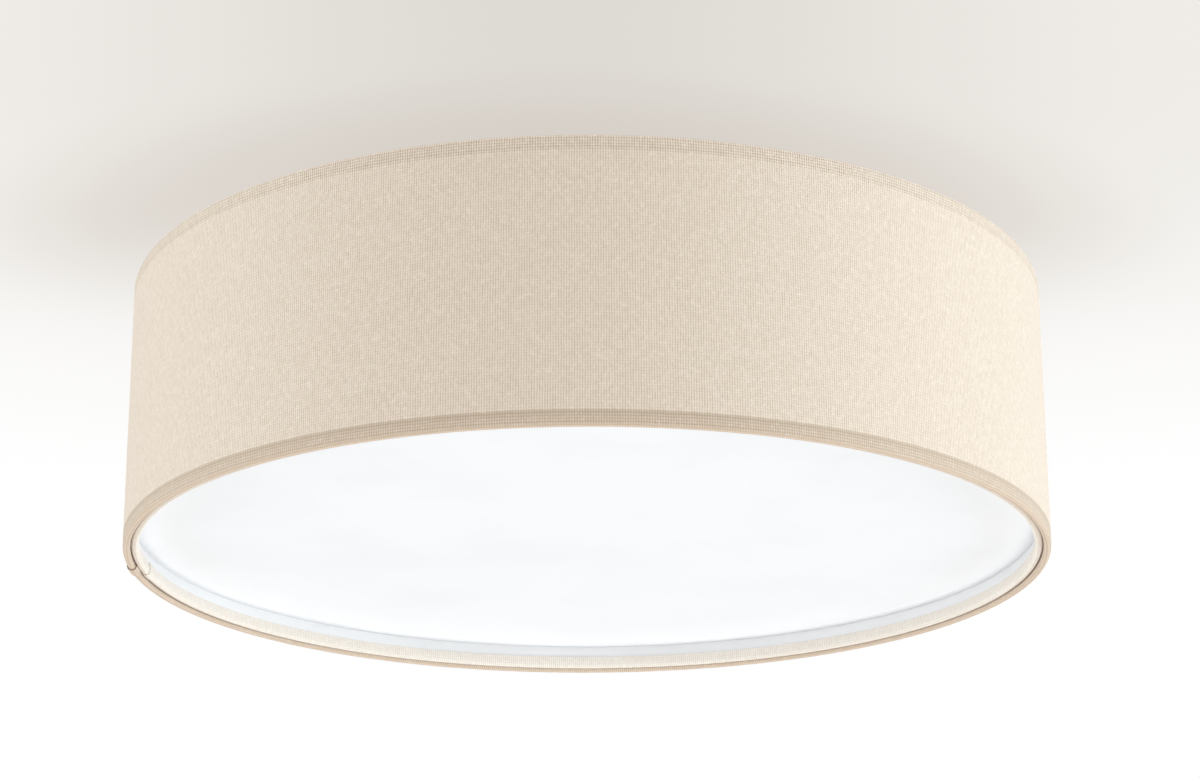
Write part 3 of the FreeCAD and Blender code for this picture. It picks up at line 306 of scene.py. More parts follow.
@dataclass(frozen=True)
class Weave(Finish):
    """A plain weave with strong warp threads, laid over the cloth's own flat coordinates.

    Shades are given as strengths on the single wall and on the doubled hem. The hem's profile is in shares of
    its width: where a step begins and ends, and the strength before and after it.
    """

    thread: Colour
    # The shadow colour is painted shade in the gaps between threads. The darkest colour is painted shade in
    # the holes where threads meet, in the narrow gap past the drum's rim and along the lap's cut edge.
    shadow: Colour
    deep_shadow: Colour
    strip: float = 0.0
    hems: tuple[HemAndShadowBand, ...] = ()
    gap_shadows: tuple[HemAndShadowBand, ...] = ()
    warp_pitch: float = 1.26 * MM
    weft_pitch: float = 1.5 * MM
    depth: float = 0.16 * MM
    # The cut fields place a painted shadow along the lap's cut edge, where the top layer of cloth ends.
    cut_line: float = 0.4 * MM
    cut_edge: float = 0.6
    lap_edge_shadow_strength: float = 0.4
    sway: float = 0.25
    warp_shade: Pair = (0.8, 1.1)
    weft_shade: Pair = (0.12, 0.4)
    pit_shade: Pair = (0.12, 0.7)
    base_shade: float = 0.08
    slub: Ramp = (0.3, 0.7, 0.55, 1.35)
    slub_reach: float = 4 * MM
    fleck: Pair = (0.55, 0.7)
    fleck_reach: float = 2.4 * MM
    streak: Pair = (0.5, 0.7)
    streak_reach: float = 1.5 * MM
    streak_shift: float = 900.5
    thread_stride: float = 17.37
    pale_share: float = 0.22
    gap_power: float = 1.3
    round_power: float = 0.6
    crimp: float = 0.16
    warp_height: float = 0.8
    weft_height: float = 0.5
    fuzz_height: float = 0.25
    hem_start: Pair = (-0.3 * MM, 0.8 * MM)
    hem_dip: Ramp = (0.1, 0.5, 1.1, 0.7)
    # This step is painted shade towards and over the roll, where the cloth turns round its ring wire.
    roll_painted_shade: Ramp = (0.6, 0.85, 0.0, 0.5)
    hem_past: Ramp = (1.08, 1.35, 1.0, 0.1)
    # Where the painted gap shadow fades out, past the rim.
    gap_shadow_end: Pair = (1.2 * MM, 2.4 * MM)

    def paint(self, surface: Surface) -> None:
        """Set up the weave with its hems, its painted gap shadows and the painted shadow along the lap's cut
        edge.

        Args:
            surface: The material's nodes.
        """
        flat = surface.node("ShaderNodeUVMap", uv_map=FLAT_MAP).outputs[0]
        round_way, up_way, _ = surface.split(flat)
        sway = surface.between(surface.noise(flat, scale=60, detail=2), -self.sway, self.sway)
        across = surface.math("ADD", surface.math("DIVIDE", round_way, self.warp_pitch), sway)
        along = surface.math("ADD", surface.math("DIVIDE", up_way, self.weft_pitch), sway)
        # Painted shadow along the lap's cut edge.
        cut = (self.strip - self.cut_line, self.strip - self.cut_line * self.cut_edge)
        lap_edge_shadow = surface.ramp(round_way, *cut, start=0, stop=self.lap_edge_shadow_strength)
        woven = self._threads(surface, across, along, round_way, up_way)
        # Painted shadow where the cloth runs into the narrow gap past the rim.
        cloth = surface.mix(self._gap_shadow(surface, up_way), woven, self.deep_shadow)
        fuzz = surface.noise(flat, scale=2600, detail=4)
        surface.set(
            Base_Color=surface.mix(lap_edge_shadow, cloth, self.deep_shadow),
            Roughness=surface.between(fuzz, low=0.8, high=0.92),
            Sheen_Weight=0.12,
            Sheen_Roughness=0.6,
            Specular_IOR_Level=0.2,
        )
        surface.bump(self._relief(surface, across, along, fuzz), self.depth, strength=0.8)

    def _threads(
        self, graph: Graph, across: Socket, along: Socket, round_way: Socket, up_way: Socket
    ) -> Socket:
        """Colour of the woven threads, with painted shade between them and in the holes where four of them
        meet.

        Args:
            graph: The material's nodes.
            across: Warp coordinate, one unit a thread.
            along: Weft coordinate, one unit a thread.
            round_way: Distance along the strip.
            up_way: Distance along the cloth's cut height.

        Returns:
            The colour's socket.
        """
        hem, hem_and_painted_shade = self._hem(graph, up_way)
        warp_gap = self._gap(graph, across)
        weft_gap = self._gap(graph, along)
        pit = self._shade(graph, graph.math("MULTIPLY", warp_gap, weft_gap), hem, self.pit_shade)
        line = self._shade(graph, warp_gap, hem, self.warp_shade)
        row = self._shade(graph, weft_gap, hem, self.weft_shade)
        slub = graph.ramp(self._slub(graph, across, up_way, self.slub_reach), *self.slub)
        base = graph.math("ADD", hem_and_painted_shade, self.base_shade)
        dark = graph.math("MULTIPLY_ADD", graph.math("ADD", line, row), slub, base)
        fleck = graph.ramp(self._slub(graph, along, round_way, self.fleck_reach), *self.fleck)
        shifted = graph.math("ADD", across, self.streak_shift)
        streak = graph.ramp(self._slub(graph, shifted, up_way, self.streak_reach), *self.streak)
        pale = graph.math("MULTIPLY", graph.math("ADD", fleck, streak), self.pale_share)
        ground = graph.mix(graph.math("SUBTRACT", dark, pale), self.thread, self.shadow)
        return graph.mix(pit, ground, self.deep_shadow)

    def _section(self, graph: Graph, side: Socket) -> Socket:
        """Height of a row of round threads, 1 on a thread's middle and 0 between two."""
        return graph.math("ABSOLUTE", graph.math("SINE", graph.math("MULTIPLY", side, math.pi)))

    def _gap(self, graph: Graph, side: Socket) -> Socket:
        """How deep one is between two neighbouring threads, 0 on a thread and 1 in the gap."""
        return graph.math("POWER", graph.math("SUBTRACT", 1.0, self._section(graph, side)), self.gap_power)

    def _shade(self, graph: Graph, gap: Socket, hem: Source, shade: Pair) -> Socket:
        """A gap's painted shade, with one strength on the wall and another on the hem."""
        return graph.math("MULTIPLY", gap, graph.between(hem, *shade))

    def _slub(self, graph: Graph, side: Socket, run: Socket, reach: float) -> Socket:
        """Unevenness that keeps along a thread for a while and differs from thread to thread.

        Args:
            graph: The material's nodes.
            side: Coordinate across the threads, one unit a thread.
            run: Distance along the threads.
            reach: How long a thick or thin place is.

        Returns:
            The value's socket, 0 to 1.
        """
        apart = graph.math("MULTIPLY", graph.math("FLOOR", side), self.thread_stride)
        where = graph.node("ShaderNodeCombineXYZ", apart, graph.math("DIVIDE", run, reach))
        return graph.noise(where.outputs[0], scale=1.0, detail=2)

    def _relief(self, graph: Graph, across: Socket, along: Socket, fuzz: Socket) -> Socket:
        """Height of the woven surface: round threads that pass over and under each other.

        Args:
            graph: The material's nodes.
            across: Warp coordinate, one unit a thread.
            along: Weft coordinate, one unit a thread.
            fuzz: Fine noise of the loose fibres.

        Returns:
            The height's socket.
        """
        warp = (across, along, self.crimp, self.warp_height)
        weft = (along, across, -self.crimp, self.weft_height)
        heights = []
        for side, run, crimp, middle in (warp, weft):
            turn = graph.math("ADD", graph.math("SUBTRACT", run, 0.5), graph.math("FLOOR", side))
            wave = graph.math("COSINE", graph.math("MULTIPLY", turn, math.pi))
            thread = graph.math("POWER", self._section(graph, side), self.round_power)
            heights.append(graph.math("MULTIPLY", thread, graph.math("MULTIPLY_ADD", wave, crimp, middle)))
        return graph.math("MULTIPLY_ADD", fuzz, self.fuzz_height, graph.math("MAXIMUM", *heights))

    def _gap_shadow(self, graph: Graph, up_way: Socket) -> Source:
        """How strong the painted shadow is where the cloth runs into a narrow gap, 0 to 1.

        Args:
            graph: The material's nodes.
            up_way: Distance along the cloth's cut height.

        Returns:
            The mask.
        """
        mask: Source = 0.0
        for shadow_band in self.gap_shadows:
            start, stop = (shadow_band.rim + shadow_band.way() * past for past in self.gap_shadow_end)
            rise = graph.ramp(up_way, shadow_band.border, shadow_band.rim, 0.0, shadow_band.shade)
            fall = graph.ramp(up_way, start, stop, 1.0, 0.0)
            mask = graph.math("MAXIMUM", mask, graph.math("MULTIPLY", rise, fall))
        return mask

    def _hem(self, graph: Graph, up_way: Socket) -> tuple[Source, Source]:
        """How strongly the doubled cloth shows its grid, and how much darker it is all over, 0 to 1, partly
        by the doubled cloth's own tone and partly by painted shade towards and over the roll.

        Args:
            graph: The material's nodes.
            up_way: Distance along the cloth's cut height.

        Returns:
            The grid's strength and the shade.
        """
        mask: Source = 0.0
        shade: Source = 0.0
        for hem in self.hems:
            reach = abs(hem.rim - hem.border)
            inside = graph.math("MULTIPLY", graph.math("SUBTRACT", up_way, hem.border), hem.way())
            # turn is painted shade towards and over the roll.
            dip, turn, past = (
                graph.ramp(inside, low * reach, high * reach, start, stop)
                for low, high, start, stop in (self.hem_dip, self.roll_painted_shade, self.hem_past)
            )
            rise = graph.ramp(inside, *self.hem_start)
            band = graph.math("MULTIPLY", graph.math("MULTIPLY", rise, graph.math("ADD", dip, turn)), past)
            mask = graph.math("MAXIMUM", mask, band)
            shade = graph.math("MULTIPLY_ADD", band, hem.shade, shade)
        return mask, shade


@dataclass(frozen=True)
class Moulding(Finish):
    """Moulded or sheet plastic: an even colour, fine grain and a soft shine."""

    colour: Colour
    roughness: float
    grain: float = 900
    depth: float = 0.02 * MM
    glow: float = 0.0
    glow_reach: float = 10 * MM
    uneven: float = 0.06

    def paint(self, surface: Surface) -> None:
        """Set up the plastic.

        Args:
            surface: The material's nodes.
        """
        where = surface.place()
        grain = surface.noise(where, self.grain, detail=2)
        cloud = surface.ramp(surface.noise(where, scale=14, detail=3), low=0.35, high=0.7)
        surface.set(
            Base_Color=surface.mottle(cloud, self.colour, keep=0.965),
            Roughness=surface.between(grain, self.roughness - self.uneven, self.roughness + self.uneven),
            Specular_IOR_Level=0.45,
            Subsurface_Weight=self.glow,
            Subsurface_Radius=(self.glow_reach,) * 3,
        )
        surface.bump(grain, self.depth, strength=0.5)


@dataclass(frozen=True)
class Powder(Finish):
    """Powder coat on steel: a fine orange peel with a little dust in random patches."""

    colour: Colour
    peel: float = 620

    def paint(self, surface: Surface) -> None:
        """Set up the coat.

        Args:
            surface: The material's nodes.
        """
        where = surface.place()
        dust = surface.noise(where, scale=22, detail=5)
        surface.set(
            Base_Color=surface.mottle(surface.ramp(dust, low=0.45, high=0.75), self.colour, keep=0.93),
            Roughness=surface.between(dust, low=0.3, high=0.5),
            Coat_Weight=0.15,
            Coat_Roughness=0.3,
        )
        surface.bump(surface.noise(where, self.peel, detail=2), depth=0.03 * MM, strength=0.6)


@dataclass(frozen=True)
class Metal(Finish):
    """Plain or plated metal with fine drawn lines and faint stains."""

    colour: Colour
    roughness: float
    lines: Point = (60, 900, 900)
    smoother: float = 0.1
    rougher: float = 0.15

    def paint(self, surface: Surface) -> None:
        """Set up the metal.

        Args:
            surface: The material's nodes.
        """
        where = surface.place()
        stretch = surface.node("ShaderNodeMapping", where)
        surface.feed(stretch.inputs["Scale"], self.lines)
        drawn = surface.noise(stretch.outputs[0], scale=1.0, detail=3)
        stain = surface.ramp(surface.noise(where, scale=45, detail=4), low=0.45, high=0.8)
        surface.set(
            Base_Color=surface.mottle(stain, self.colour, keep=0.78),
            Metallic=1.0,
            Roughness=surface.between(drawn, self.roughness - self.smoother, self.roughness + self.rougher),
        )
        surface.bump(drawn, depth=0.02 * MM, strength=0.5)


@dataclass(frozen=True)
class Insulation(Finish):
    """Soft wire insulation in one colour, or in two that run along it as stripes."""

    colour: Colour
    stripe: Colour | None = None
    stripe_pitch: float = 5 * MM

    def paint(self, surface: Surface) -> None:
        """Set up the insulation.

        Args:
            surface: The material's nodes.
        """
        where = surface.place()
        skin = surface.noise(where, scale=500, detail=3)
        if self.stripe:
            first, second, third = surface.split(where)
            slant = surface.math("ADD", first, surface.math("ADD", second, third))
            turn = surface.math("SINE", surface.math("MULTIPLY", slant, 2 * math.pi / self.stripe_pitch))
            colour = surface.mix(surface.ramp(turn, low=-0.1, high=0.1), self.colour, self.stripe)
        else:
            colour = surface.mottle(surface.ramp(skin, low=0.4, high=0.7), self.colour, keep=0.8)
        surface.set(Base_Color=colour, Roughness=surface.between(skin, low=0.35, high=0.55))
        surface.bump(skin, depth=0.02 * MM, strength=0.4)


# Meshes ----------------------------------------------------------------------------------------------


def mesh_object(
    name: str, points: Sequence[Sequence[float]], faces: Sequence[Sequence[int]], sharp: float
) -> bpy.types.Object:
    """Make a mesh object with smooth faces and sharp edges past an angle.

    Args:
        name: The object's name.
        points: Its vertices.
        faces: Its faces as vertex numbers.
        sharp: The angle in degrees past which an edge stays sharp.

    Returns:
        The new object.
    """
    mesh = bpy.data.meshes.new(name)
    mesh.from_pydata([tuple(point) for point in points], [], [tuple(face) for face in faces])
    mesh.validate()
    mesh.polygons.foreach_set("use_smooth", [True] * len(mesh.polygons))
    mesh.set_sharp_from_angle(angle=math.radians(sharp))
    made = bpy.data.objects.new(name, mesh)
    bpy.context.scene.collection.objects.link(made)
    return made


def lathe(
    name: str,
    outline: Outline,
    place: Matrix,
    segments: int = 72,
    swell: Callable[[float, int], float] | None = None,
) -> bpy.types.Object:
    """Turn a closed outline of (radius, distance along the axis) about the local Z axis.

    Args:
        name: The object's name.
        outline: The outline. Points at radius 0 become one point on the axis.
        place: Where the local frame lies.
        segments: Steps round the axis.
        swell: What to add to a point's radius, by angle and by point number.

    Returns:
        The turned object.
    """
    points: list[Vector] = []
    rings: list[list[int]] = []
    for number, (radius, along) in enumerate(outline):
        if radius <= AXIS_RADIUS:
            rings.append([len(points)] * segments)
            points.append(place @ Vector((0, 0, along)))
            continue
        rings.append(list(range(len(points), len(points) + segments)))
        for step in range(segments):
            angle = 2 * math.pi * step / segments
            wide = radius + (swell(angle, number) if swell else 0)
            points.append(place @ Vector((wide * math.cos(angle), wide * math.sin(angle), along)))
    faces: list[list[int]] = []
    for ring, following in zip(rings, rings[1:] + rings[:1]):
        for step in range(segments):
            after = (step + 1) % segments
            face = list(dict.fromkeys([ring[step], ring[after], following[after], following[step]]))
            if len(face) > 2:
                faces.append(face[::-1])
    made = mesh_object(name, points, faces, TURNED_EDGE)
    outward(made)
    return made


def outward(item: bpy.types.Object) -> None:
    """Turn a closed mesh's faces so that they all look outward.

    Args:
        item: The mesh object.
    """
    work = bmesh.new()
    work.from_mesh(item.data)
    bmesh.ops.recalc_face_normals(work, faces=work.faces)
    work.to_mesh(item.data)
    work.free()


def dress(item: bpy.types.Object, material: bpy.types.Material) -> None:
    """Give an object one material all over."""
    item.data.materials.clear()
    item.data.materials.append(material)


def settle(item: bpy.types.Object, material: bpy.types.Material, body: str, node: str) -> None:
    """Dress a new piece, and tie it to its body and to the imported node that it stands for.

    Args:
        item: The piece.
        material: Its material.
        body: The body that it rides on.
        node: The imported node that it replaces.
    """
    dress(item, material)
    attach(item, body)
    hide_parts(node)
    LOG.info("%s rides on %s, %d faces", item.name, body, len(item.data.polygons))


def arc(centre: Pair, radius: float, start: float, stop: float, steps: int) -> Outline:
    """Points on an arc.

    Args:
        centre: The arc's centre.
        radius: The arc's radius.
        start: First angle in degrees.
        stop: Last angle in degrees.
        steps: Number of steps.

    Returns:
        The points, both ends included.
    """
    angles = [math.radians(start + (stop - start) * step / steps) for step in range(steps + 1)]
    return [(centre[0] + radius * math.cos(angle), centre[1] + radius * math.sin(angle)) for angle in angles]


def straight(first: Pair, last: Pair, steps: int) -> Outline:
    """Points on a line, in even steps and without its first end."""
    start, stop = Vector(first), Vector(last)
    return [tuple(start.lerp(stop, step / steps)) for step in range(1, steps + 1)]


def near(corner: Pair, *offsets: Pair) -> Outline:
    """Points of an outline, each given by its offset in millimetres from one corner."""
    return [(corner[0] + wide * MM, corner[1] + high * MM) for wide, high in offsets]


# Cloth -----------------------------------------------------------------------------------------------


@dataclass(frozen=True)
class Notch:
    """A cut-out in a cloth's turned-in edge where an arm passes, over the section's first steps."""

    angle: float
    half_width: float
    steps: int


@dataclass
class WoundCloth:
    """A strip of cloth wound once round a drum and lapped over its own beginning.

    The section is the line through the middle of the cloth's thickness, in (radius, height). The strip starts
    at the seam's angle, in degrees. Each wave of its slight unevenness has a size, a count round the drum, a
    turn per metre of height and a phase.
    """

    name: str
    section: Outline
    seam_angle: float
    thickness: float = 0.5 * MM
    lap: float = 10 * MM
    lap_lift: float = 0.8 * MM
    lap_ease: float = 7 * MM
    lap_steps: int = 6
    ripple: float = 0.06 * MM
    held_ripple: float = 0.25
    waves: tuple[Wave, ...] = ((1.0, 3, 0, 0.7), (0.6, 7, 40, 1.9), (0.35, 19, -55, 0.4))
    wall_play: float = 0.02 * MM
    columns: int = 320
    least_step: float = 0.2 * MM
    notches: tuple[Notch, ...] = ()

    def radius(self) -> float:
        """The section's largest radius, where the strip's length is measured."""
        return max(radius for radius, _ in self.section)

    def turn(self) -> float:
        """The distance once round."""
        return 2 * math.pi * self.radius()

    def length(self) -> float:
        """The strip's cut length, once round plus the lap."""
        return self.turn() + self.lap

    def distances(self) -> list[float]:
        """Measure the section.

        Returns:
            Distance along it at each of its points.
        """
        made = [0.0]
        for before, after in zip(self.section, self.section[1:]):
            made.append(made[-1] + math.dist(before, after))
        return made

    def normals(self) -> list[Vector]:
        """Find the outer side of the section.

        Returns:
            Its direction at each point, as (radius, height).
        """
        made = []
        last = len(self.section) - 1
        for index in range(last + 1):
            before = Vector(self.section[max(index - 1, 0)])
            after = Vector(self.section[min(index + 1, last)])
            run = (after - before).normalized()
            made.append(Vector((-run.y, run.x)))
        return made

    def lift(self, travelled: float) -> float:
        """How far the cloth stands off the drum after a distance along the strip."""
        share = (travelled - (self.turn() - self.lap_ease)) / self.lap_ease
        return self.lap_lift * smooth(min(max(share, 0.0), 1.0))

    def wave(self, angle: float, radius: float, height: float) -> float:
        """The slight unevenness of the hand-wound wall, held back where the cloth is rolled.

        Args:
            angle: Angle round the drum.
            radius: Radius on the drum.
            height: Height on the drum.

        Returns:
            The offset.
        """
        free = 1.0 if radius > self.radius() - self.wall_play else self.held_ripple
        swing = 0.0
        for size, count, slant, phase in self.waves:
            swing += size * math.sin(count * angle + slant * height + phase)
        return self.ripple * swing * free

    def build(self) -> bpy.types.Object:
        """Make the strip as a closed thin solid with flat coordinates in metres.

        Returns:
            The cloth.
        """
        sides = self.normals()
        stops = self._stops()
        points: list[Point] = []
        for travelled in stops:
            angle = math.radians(self.seam_angle) + 2 * math.pi * travelled / self.turn()
            for (radius, height), side in zip(self.section, sides):
                middle = self.lift(travelled) + self.wave(angle, radius, height)
                for face in (1, -1):
                    off = middle + face * self.thickness / 2
                    wide = radius + side.x * off
                    points.append((wide * math.cos(angle), wide * math.sin(angle), height + side.y * off))
        faces, flat = self._skin(stops)
        made = mesh_object(self.name, points, faces, CLOTH_EDGE)
        layer = made.data.uv_layers.new(name=FLAT_MAP)
        for polygon, corners in zip(made.data.polygons, flat):
            for loop, corner in zip(polygon.loop_indices, corners):
                layer.data[loop].uv = corner
        return made

    def _middle(self, notch: Notch) -> float:
        """Distance along the strip of a notch's middle."""
        return (math.radians(notch.angle - self.seam_angle) % (2 * math.pi)) / (2 * math.pi) * self.turn()

    def _stops(self) -> list[float]:
        """Place the strip's columns of points: evenly, and at the lap's and the notches' edges.

        Returns:
            Their distances along the strip, in order.
        """
        made = [self.length() * step / self.columns for step in range(self.columns + 1)]
        made += [self.turn() - self.lap_ease * step / self.lap_steps for step in range(self.lap_steps + 1)]
        for notch in self.notches:
            made += [self._middle(notch) - notch.half_width, self._middle(notch) + notch.half_width]
        made.sort()
        kept = [made[0]]
        for stop in made[1:]:
            if stop - kept[-1] > self.least_step:
                kept.append(stop)
        kept[-1] = self.length()
        return kept

    def _cut(self, travelled: float) -> int:
        """How many of the section's first steps a notch takes away at a distance along the strip."""
        near_by = (notch for notch in self.notches if abs(travelled - self._middle(notch)) < notch.half_width)
        return max((notch.steps for notch in near_by), default=0)

    def _skin(self, stops: list[float]) -> tuple[list[list[int]], list[list[Pair]]]:
        """Faces of both sides and of every free edge.

        Args:
            stops: Distances of the columns.

        Returns:
            The faces and the flat coordinates of their corners.
        """
        along = self.distances()
        cuts = [self._cut((before + after) / 2) for before, after in zip(stops, stops[1:])]
        faces: list[list[int]] = []
        flat: list[list[Pair]] = []

        def there(column: int, index: int) -> bool:
            """Whether the strip has that cell."""
            return 0 <= column < len(cuts) and cuts[column] <= index < len(along) - 1

        def add(corners: list[tuple[int, int, int]]) -> None:
            """Add one face from (column, index, side) corners: side 0 is the outer one and 1 the inner."""
            faces.append([(column * len(along) + index) * 2 + side for column, index, side in corners])
            flat.append([(stops[column], along[index]) for column, index, _ in corners])

        for column in range(len(cuts)):
            for index in range(cuts[column], len(along) - 1):
                ring = [(column, index), (column, index + 1), (column + 1, index + 1), (column + 1, index)]
                add([(*corner, 0) for corner in ring])
                add([(*corner, 1) for corner in reversed(ring)])
                borders = (
                    (column, index - 1, ring[3], ring[0]),
                    (column, index + 1, ring[1], ring[2]),
                    (column - 1, index, ring[0], ring[1]),
                    (column + 1, index, ring[2], ring[3]),
                )
                for beside, step, first, second in borders:
                    if not there(beside, step):
                        add([(*second, 0), (*first, 0), (*first, 1), (*second, 1)])
        return faces, flat


@dataclass
class DrumFabric:
    """The drum's outer cloth: the wall, rolled round both ring wires and turned back inside."""

    weave: Weave
    wall: float = 249.75 * MM
    ring: float = 247.95 * MM
    roll: float = 1.8 * MM
    leg: float = 248.65 * MM
    top: float = -4.05 * MM
    bottom: float = -147.95 * MM
    kink: float = 1.55 * MM
    slope: float = 2.5 * MM
    depth: float = 7.5 * MM
    rim: float = 2.05 * MM
    slope_steps: int = 3
    roll_steps: int = 12
    wall_steps: int = 28
    seam_angle: float = 176.2
    arm_angles: tuple[int, ...] = (0, 120, 240)
    arm_half_width: float = 6.6 * MM
    notch_steps: int = 9
    hem_width: float = 6.1 * MM
    # The hems' shades are partly the doubled cloth's own darker tone and partly painted shade.
    upper_shade: float = 0.02
    lower_shade: float = 0.62
    # A painted shadow where the drum's cloth runs into the gap between drum and insert.
    gap_shadow_strength: float = 0.5
    gap_shadow_start: float = 1.2 * MM
    gap_shadow_rim: float = 0.3 * MM

    def section(self) -> Outline:
        """Draw the line through the cloth's thickness.

        Returns:
            Its points, from the upper inner edge to the lower one.
        """
        inner = self.ring - self.roll
        made: Outline = [(self.leg, self.top + self.rim - self.depth)]
        made += straight(made[-1], (self.leg, self.top - self.kink - self.slope), 1)
        made += straight(made[-1], (inner, self.top - self.kink), self.slope_steps)
        made += arc((self.ring, self.top), self.roll, 180, 0, self.roll_steps)
        made += straight(made[-1], (self.wall, self.bottom), self.wall_steps)
        made += arc((self.ring, self.bottom), self.roll, 0, -180, self.roll_steps)[1:]
        made += straight(made[-1], (inner, self.bottom + self.kink), 1)
        made += straight(made[-1], (self.leg, self.bottom + self.kink + self.slope), self.slope_steps)
        made += straight(made[-1], (self.leg, self.bottom - self.rim + self.depth), 1)
        return made

    def bands(self, along: list[float]) -> tuple[tuple[HemAndShadowBand, ...], tuple[HemAndShadowBand, ...]]:
        """The two hems, each from the wall to its roll's crest, and the painted shadow in the gap past the
        lower roll.

        Args:
            along: Distance along the section at each of its points.

        Returns:
            The hems and the painted gap shadows.
        """
        half_roll = self.roll_steps // 2
        wall_top = 2 + self.slope_steps + self.roll_steps
        wall_bottom = wall_top + self.wall_steps
        roll_end = along[wall_bottom + self.roll_steps]
        upper = HemAndShadowBand(along[wall_top] + self.hem_width, along[wall_top - half_roll], self.upper_shade)
        lower = HemAndShadowBand(along[wall_bottom] - self.hem_width, along[wall_bottom + half_roll], self.lower_shade)
        return (upper, lower), (HemAndShadowBand(roll_end - self.gap_shadow_start, roll_end + self.gap_shadow_rim, self.gap_shadow_strength),)

    def build(self) -> None:
        """Wind the cloth and dress it."""
        notches = tuple(Notch(angle, self.arm_half_width, self.notch_steps) for angle in self.arm_angles)
        cloth = WoundCloth("shade_cloth", self.section(), self.seam_angle, notches=notches)
        made = cloth.build()
        hems, gap_shadows = self.bands(cloth.distances())
        wound = replace(self.weave, strip=cloth.length(), hems=hems, gap_shadows=gap_shadows)
        material = wound.material("cream linen weave, drum")
        settle(made, material, Body.SHADE.value, "shade_fabric")
        flat = (cloth.length(), cloth.distances()[-1])


@dataclass
class InsertCloth:
    """The insert's cloth: a short wall, rolled round its ring wire and turned back inside."""

    weave: Weave
    wall: float = 245.25 * MM
    ring: float = 243.45 * MM
    roll: float = 1.8 * MM
    height: float = -146.35 * MM
    top: float = -131.2 * MM
    kink: float = 1.55 * MM
    lean: float = 0.8 * MM
    edge: float = -141.5 * MM
    wall_steps: int = 6
    roll_steps: int = 12
    lean_steps: int = 2
    seam_angle: float = 172.7
    lap: float = 8 * MM
    lap_lift: float = 0.45 * MM
    ripple: float = 0.025 * MM
    hem_width: float = 7.2 * MM
    hem_steps: int = 3
    # The hem's shade is partly the doubled cloth's own darker tone and partly painted shade.
    hem_and_painted_shade: float = 0.2

    def section(self) -> Outline:
        """Draw the line through the cloth's thickness.

        Returns:
            Its points, from the upper edge of the wall to the inner edge.
        """
        inner = self.ring - self.roll
        made: Outline = [(self.wall, self.top)]
        made += straight(made[-1], (self.wall, self.height), self.wall_steps)
        made += arc((self.ring, self.height), self.roll, 0, -180, self.roll_steps)[1:]
        made += straight(made[-1], (inner, self.height + self.kink), 1)
        made += straight(made[-1], (inner + self.lean, self.edge), self.lean_steps)
        return made

    def build(self) -> None:
        """Wind the cloth and dress it."""
        looseness = {"lap": self.lap, "lap_lift": self.lap_lift, "ripple": self.ripple}
        cloth = WoundCloth("insert_cloth", self.section(), self.seam_angle, **looseness)
        made = cloth.build()
        along = cloth.distances()
        rim = along[self.wall_steps + self.hem_steps]
        hem = HemAndShadowBand(along[self.wall_steps] - self.hem_width, rim, self.hem_and_painted_shade)
        wound = replace(self.weave, strip=cloth.length(), hems=(hem,))
        material = wound.material("cream linen weave, insert")
        settle(made, material, Body.DIFFUSER.value, "insert_fabric")
        flat = (cloth.length(), along[-1])


# Bulbs and holders -----------------------------------------------------------------------------------


def along_axis(angle: float, height: float) -> Matrix:
    """The frame of a lampholder: local Z runs outward from the light's middle, local X runs up.

    Args:
        angle: The holder's angle in degrees.
        height: The axis' height.

    Returns:
        The frame.
    """
    turn = math.radians(angle)
    out = Vector((math.cos(turn), math.sin(turn), 0))
    rise = Vector((0, 0, 1))
    side = out.cross(rise)
    return Matrix.Translation((0, 0, height)) @ Matrix((rise, side, out)).transposed().to_4x4()


